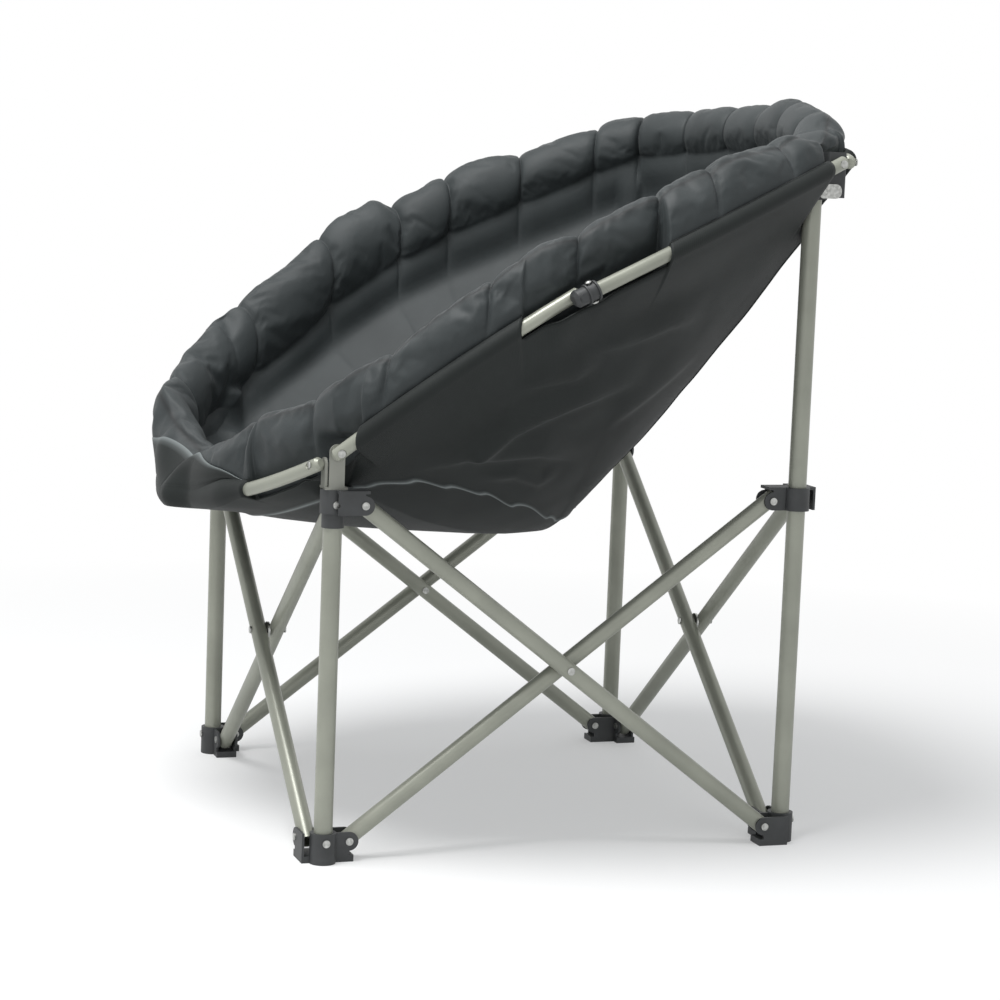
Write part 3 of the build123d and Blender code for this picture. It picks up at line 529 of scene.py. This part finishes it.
def facePoint(st, u):  # outer face of the roll, from its crest down to the sleeve
    top = rollPoint(st, roll["crestAt"])
    if st["sleeve"]:
        foot = hemPoint(st, hemTop(st), faceFoot["inSleeve"])
    elif st["share"] > 0.5:
        foot = faceFoot["middle"]
    else:
        low = hemStart(st)
        foot = (low[0] + faceFoot["corner"][0], low[1] + faceFoot["corner"][1])
    ds, dz = foot[0] - top[0], foot[1] - top[1]
    length = math.hypot(ds, dz)
    swell = (roll["leastSwell"] + roll["faceSwell"] * st["full"]) * math.sin(math.pi * u ** roll["faceCurve"])
    return top[0] + ds * u - dz / length * swell, top[1] + dz * u + ds / length * swell


# padding: how its two skins keep off the shell, and the hollow of its eye
padding = {"liningIn": 0.014, "backIn": 0.004, "backLift": 0.006, "eyeShare": 0.06, "fromEye": 0.12,
           "liningToEdge": 0.2, "backToEdge": 0.1, "frameRoom": 0.004, "eyeEdge": 0.001, "startIn": 0.006,
           "crowding": 0.8, "backCrowding": 1.2}
upShare, outShare = 0.6, 0.8                            # slant of the way straight through the padding


def padSection(st):  # closed: lining, inner pillow, outer face, back under the cloth to the bowl's middle
    seam = rollPoint(st, roll["seamAt"])
    even = columns["lining"] - len(eyeShares)
    liningShares = eyeShares + [(i / even) ** padding["crowding"] for i in range(1, even + 1)]
    points = [bowlLine(st, w, seam, seat["lining"]) for w in liningShares]
    turned = (roll["seamAt"] - roll["crestAt"]) / columns["pillow"]
    points += [rollPoint(st, roll["seamAt"] - turned * i) for i in range(1, columns["pillow"] + 1)]
    points += [facePoint(st, i / columns["face"]) for i in range(1, columns["face"] + 1)]
    start = hemStart(st)
    start = (min(start[0] - padding["startIn"], facePoint(st, 1)[0]), start[1])
    count = columns["back"]
    backShares = [max(eyeShares[0], 1 - (i / count) ** padding["backCrowding"]) for i in range(count + 1)]
    lifts = [padding["backLift"] * min(1, w / padding["eyeShare"]) for w in backShares]
    points += [bowlLine(st, w, start, lift) for w, lift in zip(backShares, lifts)]
    placed = []
    above, inwards = Vector((0, 0, upShare)), st["out"] * -outShare
    for i, (s, z) in enumerate(points):
        s, z = clearOf(st, s, z, tubeRoom["inSleeve" if st["sleeve"] else "bare"])
        p = clearOfFrame(placeAt(st, s, z), st, padding["frameRoom"])
        left = i - (len(points) - 1 - count)
        if left > 0:
            w = backShares[left]
            depth = smooth(0, padding["fromEye"], w) * smooth(0, padding["backToEdge"], 1 - w)
            p = p + (above + inwards) * (padding["backIn"] * depth)
        elif i < columns["lining"] - 1:
            w = liningShares[i]
            depth = padding["liningIn"] * smooth(0, padding["liningToEdge"], 1 - w)
            p = p + (above + inwards * smooth(0, padding["fromEye"], w)) * depth
        placed.append(p)
    placed += [placed[0] - Vector((0, 0, padding["eyeEdge"])), placed[0].copy()]
    return placed


# drag folds in the side of the shell: the lower edge of each as y and z, how far it fades upwards, its height
folds = [([(-0.212, 0.453), (-0.143, 0.469), (-0.102, 0.482), (-0.075, 0.505), (-0.035, 0.525),
           (0.018, 0.545), (0.065, 0.559), (0.103, 0.571)], 0.040, 0.0125),
         ([(-0.125, 0.466), (-0.100, 0.474), (-0.022, 0.476), (0.056, 0.458)], 0.032, 0.0100),
         ([(-0.110, 0.442), (-0.048, 0.446), (-0.005, 0.432), (0.028, 0.448)], 0.016, 0.0055),
         ([(-0.096, 0.560), (-0.045, 0.569), (-0.015, 0.574), (0.025, 0.592)], 0.030, 0.0090),
         ([(-0.030, 0.598), (0.050, 0.615), (0.110, 0.634), (0.165, 0.640)], 0.038, 0.0075),
         ([(0.060, 0.500), (0.120, 0.545), (0.190, 0.600)], 0.045, 0.0050)]
drag = {"under": 0.007, "comesOver": (0, 0.3), "goesOver": (0.65, 1), "onSides": (0.10, 0.20),
        "otherSide": (-0.025, 0.012)}
slack = {"least": -0.0015, "broad": 0.0026, "broadScale": 7.0, "fine": 0.0012, "fineScale": 21.0}


def dragged(p):  # how far the folds and some slackness lift the shell outwards
    broad = slack["broad"] * noise.noise(p * slack["broadScale"])
    lift = max(slack["least"], broad + slack["fine"] * noise.noise(p * slack["fineScale"]))
    sides = smooth(*drag["onSides"], abs(p.x))
    y, z = (p.y, p.z) if p.x > 0 else (p.y + drag["otherSide"][0], p.z + drag["otherSide"][1])
    for line, fade, height in folds:
        best = None
        for number, ((y0, z0), (y1, z1)) in enumerate(zip(line, line[1:])):
            dy, dz = y1 - y0, z1 - z0
            length = math.hypot(dy, dz)
            along = min(1, max(0, ((y - y0) * dy + (z - z0) * dz) / length ** 2))
            off = math.hypot(y - y0 - dy * along, z - z0 - dz * along)
            above = dy * (z - z0) - dz * (y - y0) > 0
            if best is None or off < best[0]:
                best = (off, above, (number + along) / (len(line) - 1))
        off, above, along = best
        ends = smooth(*drag["comesOver"], along) * (1 - smooth(*drag["goesOver"], along))
        shape = 1 - smooth(0, fade, off) if above else math.exp(-(off / drag["under"]) ** 2)
        lift += height * ends * sides * shape
    return lift


# shell: its hem on the roll's face, its free edge by a joint, the base panel's piped seam, its folds' fade
shell = {"coverOut": 0.003, "coverUp": 0.001, "hemDeep": 0.006, "hemUp": 0.001, "frameRoom": 0.001,
         "ridge": 0.012, "piping": 0.0022, "pipingSpread": 1.2, "foldsFromRim": 0.12, "foldsFromMiddle": 0.25}


def clothSection(st):  # open: from the roll's face, round or under the tube, to the bowl's middle
    points = []
    rise = sleeve[st["kind"]]["top"] * smooth(*hem["riseOver"], st["share"])
    count = columns["hem"]
    if st["sleeve"]:
        for i in range(columns["cover"]):
            s, z = facePoint(st, 1 - rise * (1 - i / columns["cover"]))
            points.append((s + shell["coverOut"], z + shell["coverUp"]))
        arc = count - columns["cover"]
        above = hemTop(st)
        points += [hemPoint(st, above - (above - hem["lowTurn"]) * i / arc) for i in range(arc + 1)]
    else:
        under = hemStart(st)
        for i in range(count + 1):
            back = 1 - i / count
            points.append((under[0] - shell["hemDeep"] * back, under[1] + shell["hemUp"] * back))
    start = points[-1]
    ridge = shell["ridge"] / st["reach"]
    toRidge = 1 - st["seam"] - ridge
    shares = [1 - toRidge * i / columns["shellHigh"] for i in range(1, columns["shellHigh"] + 1)]
    shares += [st["seam"] + ridge * k for k in ridgeSteps]
    low = shares[-1]
    shares += [low * (1 - i / columns["shellLow"]) for i in range(1, columns["shellLow"] + 1)]
    points += [bowlLine(st, w, start, 0) for w in shares]
    free = len(points) - len(shares)
    placed = []
    outwards = st["out"] * outShare - Vector((0, 0, upShare))
    for i, (s, z) in enumerate(points):
        if not st["sleeve"] and st["share"] < 0.5:
            s, z = clearOf(st, s, z, tubeRoom["shell"])
        p = clearOfFrame(placeAt(st, s, z), st, shell["frameRoom"])
        if i >= free:
            w = shares[i - free]
            away = smooth(0.0, shell["foldsFromRim"], 1 - w) * smooth(0, shell["foldsFromMiddle"], w)
            piping = shell["piping"] * math.exp(-((i - pipingColumn) / shell["pipingSpread"]) ** 2)
            p = p + outwards * (dragged(p) * away + piping)
        placed.append(p)
    return placed


# stations along a tube: fewest to a puff, how much closer they stand at its seams, the pair at a sleeve's end
stations = {"fewest": 8, "closer": 0.35, "endGap": 0.0015, "endClear": 0.004}


def sharesAlong(index):  # evenly along a tube, closer at the seams, with a pair at each end of the sleeve
    _, kind, hand, _, _ = ring[index]
    length = (tubeAt(index, 0)[0] - tubeAt(index, 1)[0]).length
    shares = []
    seams = sewn[kind][hand]
    for low, high in zip((0,) + seams[1:], seams[1:]):
        count = max(stations["fewest"], round((high - low) * length / seat["spacing"]))
        for i in range(count):
            t = i / count
            eased = 0.5 - 0.5 * math.cos(math.pi * t)
            shares.append(low + (high - low) * ((1 - stations["closer"]) * t + stations["closer"] * eased))
    shares.append(1.0)
    for edge in (sleeve[kind]["corner"], sleeve[kind]["middle"]):
        if edge < 1:
            shares = [s for s in shares if abs(s - edge) > stations["endClear"]]
            shares += [edge - stations["endGap"], edge + stations["endGap"]]
    return sorted(shares)


def laid(rows):  # a grid laid over the sections, one row for each station, with its size in metres as UV
    bm = bmesh.new()
    nx, ny = len(rows) - 1, len(rows[0]) - 1
    bmesh.ops.create_grid(bm, x_segments=nx, y_segments=ny, size=0.5, calc_uvs=True)
    uv = bm.loops.layers.uv.verify()
    bm.verts.layers.float.new("mark")
    middle = rows[nx // 2]
    across = [0.0]
    for i in range(ny):
        across.append(across[-1] + (middle[i + 1] - middle[i]).length)
    lengths = [0.0]
    for i in range(nx):
        lengths.append(lengths[-1] + (rows[i + 1][ny // 2] - rows[i][ny // 2]).length)
    grid = {}
    for v in bm.verts:
        grid[v] = (round((v.co.x + 0.5) * nx), round((v.co.y + 0.5) * ny))
    for face in bm.faces:
        for loop in face.loops:
            i, j = grid[loop.vert]
            loop[uv].uv = (lengths[i], across[j])
    for v, (i, j) in grid.items():
        v.co = rows[i][j]
    for face in bm.faces:
        face.smooth = True
    return bm, {place: v for v, place in grid.items()}, nx, ny


# the rolls' spare cloth while it is blown up: air, the cloth's own values, and how the seams hold it
puffing = {"pressure": 6.0, "frames": 20, "spare": -0.03, "gather": 0.20, "cap": 0.016, "stiffness": 12.0,
           "bending": 0.05, "mass": 0.2, "quality": 5, "seamReach": 0.002, "heldInside": 2, "heldOutside": 5,
           "blended": 9}


def puffedUp(allRows, allShares):  # the sections' rows, with the rolls blown up between their seams
    first = columns["lining"] - 1
    last = first + columns["pillow"] + columns["face"]
    stage = []
    for index, rows in enumerate(allRows):
        strip = [row[first:last + 1] for row in rows]
        bm, grid, nx, ny = laid(strip)
        bmesh.ops.recalc_face_normals(bm, faces=bm.faces)
        outwards = grid[(nx // 2, columns["pillow"] // 2)]
        if outwards.normal.dot(Vector((outwards.co.x, outwards.co.y - seat["axis"][1], 0))) > 0:
            bmesh.ops.reverse_faces(bm, faces=bm.faces)
        bm.verts.index_update()
        places = {v.index: place for place, v in grid.items()}
        mesh = bpy.data.meshes.new("puffing")
        bm.to_mesh(mesh)
        bm.free()
        obj = bpy.data.objects.new("puffing", mesh)
        scene.collection.objects.link(obj)
        obj.shape_key_add(name="laid")
        stretched = obj.shape_key_add(name="slack")
        begin, finish = tubeAt(index, 0)[0], tubeAt(index, 1)[0]
        for number, (i, j) in places.items():
            spare = (finish - begin) * (allShares[index][i] * puffing["gather"])
            stretched.data[number].co = mesh.vertices[number].co + spare
        held = obj.vertex_groups.new(name="held")
        _, kind, hand, _, _ = ring[index]
        seams = sewn[kind][hand]
        length = (tubeAt(index, 0)[0] - tubeAt(index, 1)[0]).length
        for number, (i, j) in places.items():
            toSeam = min(abs(allShares[index][i] - s) for s in seams) * length
            edge = j < puffing["heldInside"] or j > ny - puffing["heldOutside"] or i == nx
            if toSeam < puffing["seamReach"] or edge or j + first == crestColumn:
                held.add([number], 1.0, "REPLACE")
        cloth = obj.modifiers.new("puffing", "CLOTH")
        settings = cloth.settings
        settings.quality = puffing["quality"]
        settings.mass = puffing["mass"]
        settings.tension_stiffness = puffing["stiffness"]
        settings.compression_stiffness = puffing["stiffness"]
        settings.shear_stiffness = puffing["stiffness"] / 2
        settings.bending_stiffness = puffing["bending"]
        settings.vertex_group_mass = "held"
        settings.shrink_min = puffing["spare"]
        settings.rest_shape_key = stretched
        settings.use_pressure = True
        settings.uniform_pressure_force = puffing["pressure"]
        settings.effector_weights.gravity = 0
        cloth.collision_settings.use_collision = False
        stage.append((obj, places))
    for number in range(1, puffing["frames"] + 1):
        scene.frame_set(number)
    graph = bpy.context.evaluated_depsgraph_get()
    steps = []
    for (obj, places), rows in zip(stage, allRows):
        moved = obj.evaluated_get(graph).data.vertices
        step = {(i, j): moved[number].co - rows[i][j + first] for number, (i, j) in places.items()}
        print("puffed", "furthest", round(max(d.length for d in step.values()), 4))
        for place, d in step.items():
            step[place] = d * min(1, puffing["cap"] / max(1e-6, d.length))
        steps.append(step)
    wide = last - first
    for a, b in ((0, 1), (2, 3), (4, 5), (6, 7)):  # neighbours meet at the corner
        for j in range(wide + 1):
            shared = (steps[a][(0, j)] + steps[b][(0, j)]) / 2
            for step in (steps[a], steps[b]):
                off = shared - step[(0, j)]
                for i in range(puffing["blended"]):
                    step[(i, j)] = step[(i, j)] + off * (1 - smooth(0, puffing["blended"], i))
    puffed = []
    for step, rows in zip(steps, allRows):
        rows = [list(row) for row in rows]
        for (i, j), d in step.items():
            rows[i][j + first] = rows[i][j + first] + d
        puffed.append(rows)
    for obj, _ in stage:
        bpy.data.objects.remove(obj)
    scene.frame_set(1)
    return puffed


def marked(bm, grid, column, strength):  # along one column: a painted highlight on the piping where strength is above 0, a dark binding line with painted crease shade where it is below 0
    spread = 0.9
    layer = bm.verts.layers.float["mark"]
    for (_, j), v in grid.items():
        v[layer] += strength * math.exp(-((j - column) / spread) ** 2)


def finished(name, bm, material, closed):  # one object; a pad is subdivided once and gets its flat ends
    mesh = bpy.data.meshes.new(name)
    bm.to_mesh(mesh)
    bm.free()
    mesh.materials.append(material)
    obj = bpy.data.objects.new(name, mesh)
    scene.collection.objects.link(obj)
    if closed:
        finer = obj.modifiers.new("finer", "SUBSURF")
        finer.levels = finer.render_levels = 1
        graph = bpy.context.evaluated_depsgraph_get()
        obj.data = bpy.data.meshes.new_from_object(obj.evaluated_get(graph))
        obj.modifiers.clear()
        bpy.data.meshes.remove(mesh)
        obj.data.name = name
        bm = bmesh.new()
        bm.from_mesh(obj.data)
        ends = bmesh.ops.holes_fill(bm, edges=[e for e in bm.edges if e.is_boundary], sides=0)["faces"]
        for face in ends:
            face.smooth = False
        bmesh.ops.recalc_face_normals(bm, faces=bm.faces)
        bm.to_mesh(obj.data)
        bm.free()
    return obj


def meshKey(mesh, number):  # the place of a corner, to an eighth of a millimetre
    return tuple(round(c * 8000) for c in mesh.vertices[mesh.loops[number].vertex_index].co)


def matched(objects):  # gives neighbours the same normals where they meet, so that no line shows between them
    sums = {}
    for obj in objects:
        mesh = obj.data
        for polygon in mesh.polygons:
            if not polygon.use_smooth:
                continue
            for number in polygon.loop_indices:
                known = sums.setdefault(meshKey(mesh, number), {})
                known[obj.name] = known.get(obj.name, Vector()) + mesh.corner_normals[number].vector
    for obj in objects:
        mesh = obj.data
        normals = [Vector(n.vector) for n in mesh.corner_normals]
        for polygon in mesh.polygons:
            if not polygon.use_smooth:
                continue
            for number in polygon.loop_indices:
                known = sums[meshKey(mesh, number)]
                if len(known) > 1:
                    normals[number] = sum((n.normalized() for n in known.values()), Vector()).normalized()
        mesh.normals_split_custom_set(normals)


def crushed(obj, index):  # rides its tube and gets a mesh of its own; its chord and the way across to the bowl's tip are worked out but not used
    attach(obj, ring[index][0])
    a, _ = tubeAt(index, 0)
    b, _ = tubeAt(index, 1)
    chord = (b - a).normalized()
    tip = Vector((0, seat["axis"][1], seat["bottom"]))
    middle = (a + b) / 2
    across = tip - middle
    across = (across - chord * across.dot(chord)).normalized()
    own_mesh(obj)


# the shell's cloth as it was cut for each tube: along the rim, from rim to bowl's middle, and its flat area
clothThickness = 0.0012
sameSpot = 1e-5
shares = [sharesAlong(index) for index in range(8)]
padRows = [[padSection(station(index, s)) for s in shares[index]] for index in range(8)]
padRows = puffedUp(padRows, shares)
print("rolls puffed")
pads, cloths = [], []
for index in range(8):
    body = ring[index][0]
    prefix = body.replace("_rim", "")
    rows = padRows[index] if ring[index][4] else list(reversed(padRows[index]))
    bm, grid, _, _ = laid(rows)
    # a dark binding line along the crest, deepened as painted shade in its crease
    marked(bm, grid, crestColumn, -1.0)
    bmesh.ops.remove_doubles(bm, verts=bm.verts, dist=sameSpot)
    bmesh.ops.recalc_face_normals(bm, faces=bm.faces)
    pad = finished(prefix + "_pad", bm, polyesterRoll, True)
    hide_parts(prefix + "_seat_gore")
    crushed(pad, index)
    pads.append(pad)

    rows = [clothSection(station(index, s)) for s in shares[index]]
    if not ring[index][4]:
        rows.reverse()
    bm, grid, _, _ = laid(rows)
    # painted highlight along the base seam's piping, and on the front also along the piping at the cloth's
    # top edge
    marked(bm, grid, pipingColumn, 1.0)
    if ring[index][1] == "front":
        marked(bm, grid, 0, 1.0)
    bmesh.ops.remove_doubles(bm, verts=bm.verts, dist=sameSpot)
    bmesh.ops.recalc_face_normals(bm, faces=bm.faces)
    high = max(bm.verts, key=lambda v: v.co.z)
    if high.normal.dot(Vector((high.co.x, high.co.y - seat["axis"][1], 0))) < 0:
        bmesh.ops.reverse_faces(bm, faces=bm.faces)
    area = sum(f.calc_area() for f in bm.faces)
    edges = [e for e in bm.edges if e.is_boundary]
    copy = bmesh.ops.duplicate(bm, geom=bm.verts[:] + bm.edges[:] + bm.faces[:])
    inner = [g for g in copy["geom"] if isinstance(g, bmesh.types.BMVert)]
    shift = {v: v.normal * -clothThickness for v in inner}
    for v, step in shift.items():
        v.co += step
    bmesh.ops.reverse_faces(bm, faces=[g for g in copy["geom"] if isinstance(g, bmesh.types.BMFace)])
    innerEdges = [g for g in copy["geom"] if isinstance(g, bmesh.types.BMEdge) and g.is_boundary]
    rimFaces = bmesh.ops.bridge_loops(bm, edges=edges + innerEdges)["faces"]
    for face in rimFaces:
        face.smooth = False
    bmesh.ops.recalc_face_normals(bm, faces=bm.faces)
    cloth = finished(prefix + "_cloth", bm, polyesterShell, False)
    print(prefix, "cloth area", round(area, 4))
    crushed(cloth, index)
    cloths.append(cloth)
matched(pads)
matched(cloths)
print("seat made")

# small parts of the rim, in metres
joint = {"sleeve": 0.020, "flange": 0.0120, "thick": 0.0026, "edge": 0.0006, "secondAt": 0.62,
         "pin": 0.0022, "pinAt": 0.30, "head": 0.0042, "reach": 0.0118}
lug = {"size": (0.0024, 0.030, 0.017), "corner": 0.0075, "at": (0.3131, 0.301, 0.7935), "rivet": -0.0080,
       "head": 0.0050}


def piece(name, bm, body, material):  # one small part that rides on a body of the frame
    for face in bm.faces:
        face.smooth = len(face.verts) == 4              # flat ends stay flat
    mesh = bpy.data.meshes.new(name)
    bm.to_mesh(mesh)
    bm.free()
    mesh.materials.append(material)
    obj = bpy.data.objects.new(name, mesh)
    scene.collection.objects.link(obj)
    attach(obj, body)


def turnedTo(direction, at):
    return Matrix.Translation(at) @ Vector(direction).to_track_quat("Z", "Y").to_matrix().to_4x4()


def domed(bm, at, direction, radius):  # low rivet head
    made = bmesh.ops.create_uvsphere(bm, u_segments=24, v_segments=12, radius=radius)["verts"]
    bmesh.ops.transform(bm, matrix=turnedTo(direction, at) @ Matrix.Diagonal((1, 1, 0.5, 1)), verts=made)


for index in (2, 4, 5, 7):  # the four outer tubes carry the joint sleeves
    body = ring[index][0]
    share = joint["sleeve"] / (tubeAt(index, 0)[0] - tubeAt(index, 1)[0]).length
    mouth, end = tubeAt(index, 1 - share)[0], tubeAt(index, 1)[0]
    run = (end - mouth).normalized()
    bm = bmesh.new()
    for at in (mouth, mouth.lerp(end, joint["secondAt"])):
        made = bmesh.ops.create_cone(bm, cap_ends=True, segments=48, radius1=joint["flange"],
                                     radius2=joint["flange"], depth=joint["thick"],
                                     matrix=turnedTo(run, at))["verts"]
        edges = {e for v in made for e in v.link_edges
                 if len(e.link_faces[0].verts) != len(e.link_faces[1].verts)}
        bmesh.ops.bevel(bm, geom=list(edges), offset=joint["edge"], affect="EDGES", segments=2, profile=0.5,
                        material=-1)
    piece(body + "_flanges", bm, body, mouldedNylon)
    bm = bmesh.new()
    above = (Vector((0, 0, 1)) - run * run.z).normalized()
    middle = mouth.lerp(end, joint["pinAt"])
    bmesh.ops.create_cone(bm, cap_ends=True, segments=24, radius1=joint["pin"], radius2=joint["pin"],
                          depth=2 * joint["reach"], matrix=turnedTo(above, middle))
    for side in (-1, 1):
        domed(bm, middle + above * (side * joint["reach"]), above, joint["head"])
    piece(body + "_sleeve_pin", bm, body, zincPlate)

for hand in (1, -1):  # the hub's lugs below the side tubes
    side = "left" if hand > 0 else "right"
    x, y, z = lug["at"]
    bm = bmesh.new()
    made = bmesh.ops.create_cube(bm, size=1)["verts"]
    bmesh.ops.scale(bm, vec=lug["size"], verts=made)
    corners = [e for e in bm.edges if e.verts[0].co.x * e.verts[1].co.x < 0]
    bmesh.ops.bevel(bm, geom=corners, offset=lug["corner"], affect="EDGES", segments=8, profile=0.5,
                    material=-1)
    bmesh.ops.translate(bm, vec=(x * hand, y, z), verts=bm.verts)
    domed(bm, (x * hand + hand * lug["size"][0] / 2, y + lug["rivet"], z), (hand, 0, 0), lug["head"])
    piece("rear_" + side + "_lug", bm, "rear_" + side + "_leg", zincPlate)
print("rivets made")


def seenByCamera(tree):  # 1 for what the camera sees straight, in a reflection or through something, else 0
    rays = addNode(tree, "ShaderNodeLightPath", at=(-900, 300))
    seen = addNode(tree, "ShaderNodeMath", {"operation": "MAXIMUM"},
                   {0: rays.outputs["Is Camera Ray"], 1: rays.outputs["Is Glossy Ray"]}, (-700, 300))
    seenToo = addNode(tree, "ShaderNodeMath", {"operation": "MAXIMUM"},
                      {0: seen.outputs[0], 1: rays.outputs["Is Transmission Ray"]}, (-500, 300))
    return seenToo.outputs[0]


floorData = bpy.data.meshes.new("floor")
bm = bmesh.new()
bmesh.ops.create_grid(bm, x_segments=1, y_segments=1, size=30)
bm.to_mesh(floorData)
bm.free()
floor = bpy.data.objects.new("floor", floorData)
scene.collection.objects.link(floor)
floor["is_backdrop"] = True
floorMaterial, tree, output = newMaterial("paleFloor")
# matte white board near the chair, plain white further off and for the camera
place = addNode(tree, "ShaderNodeTexCoord", at=(-900, 0))
distance = addNode(tree, "ShaderNodeVectorMath", {"operation": "LENGTH"},
                   {0: place.outputs["Object"]}, (-700, 0))
far = addNode(tree, "ShaderNodeMapRange", {"From Min": 0.6, "From Max": 2.0, "To Min": 0.3, "To Max": 1.0},
              {"Value": distance.outputs["Value"]}, (-500, 0))
matte = addNode(tree, "ShaderNodeBsdfDiffuse", {"Color": linear("#f0f0f0")}, at=(-300, -150))
glow = addNode(tree, "ShaderNodeEmission", {"Color": (1, 1, 1, 1), "Strength": 1.0}, at=(-300, -300))
share = addNode(tree, "ShaderNodeMath", {"operation": "MULTIPLY"},
                {0: seenByCamera(tree), 1: far.outputs[0]}, (-300, 150))
board = addNode(tree, "ShaderNodeMixShader",
                links={0: share.outputs[0], 1: matte.outputs[0], 2: glow.outputs[0]}, at=(0, 0))
tree.links.new(board.outputs[0], output.inputs[0])
dress(floor, floorMaterial)
world = bpy.data.worlds.new("studio")
scene.world = world
world.use_nodes = True
tree = world.node_tree
tree.nodes.clear()
plain = addNode(tree, "ShaderNodeBackground", {"Color": linear("#f2f5f7"), "Strength": 0.62}, at=(-200, -100))
white = addNode(tree, "ShaderNodeBackground", {"Color": (1, 1, 1, 1), "Strength": 1.0}, at=(-200, 100))
mix = addNode(tree, "ShaderNodeMixShader",
              links={0: seenByCamera(tree), 1: plain.outputs[0], 2: white.outputs[0]}, at=(100, 0))
addNode(tree, "ShaderNodeOutputWorld", links={0: mix.outputs[0]}, at=(300, 0))
lamps = {"key": {"at": (0.5, -1.2, 3.6), "size": 1.6, "power": 115},
         "fill": {"at": (3.0, -1.5, 1.8), "size": 2.5, "power": 8}}
aim = Vector((0, 0, 0.45))
for name, lamp in lamps.items():
    data = bpy.data.lights.new(name, "AREA")
    data.shape = "DISK"
    data.size = lamp["size"]
    data.energy = lamp["power"]
    light = bpy.data.objects.new(name, data)
    light.location = lamp["at"]
    light.rotation_euler = (aim - Vector(lamp["at"])).to_track_quat("-Z", "Y").to_euler()
    scene.collection.objects.link(light)
print("stage lit")

low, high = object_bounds()
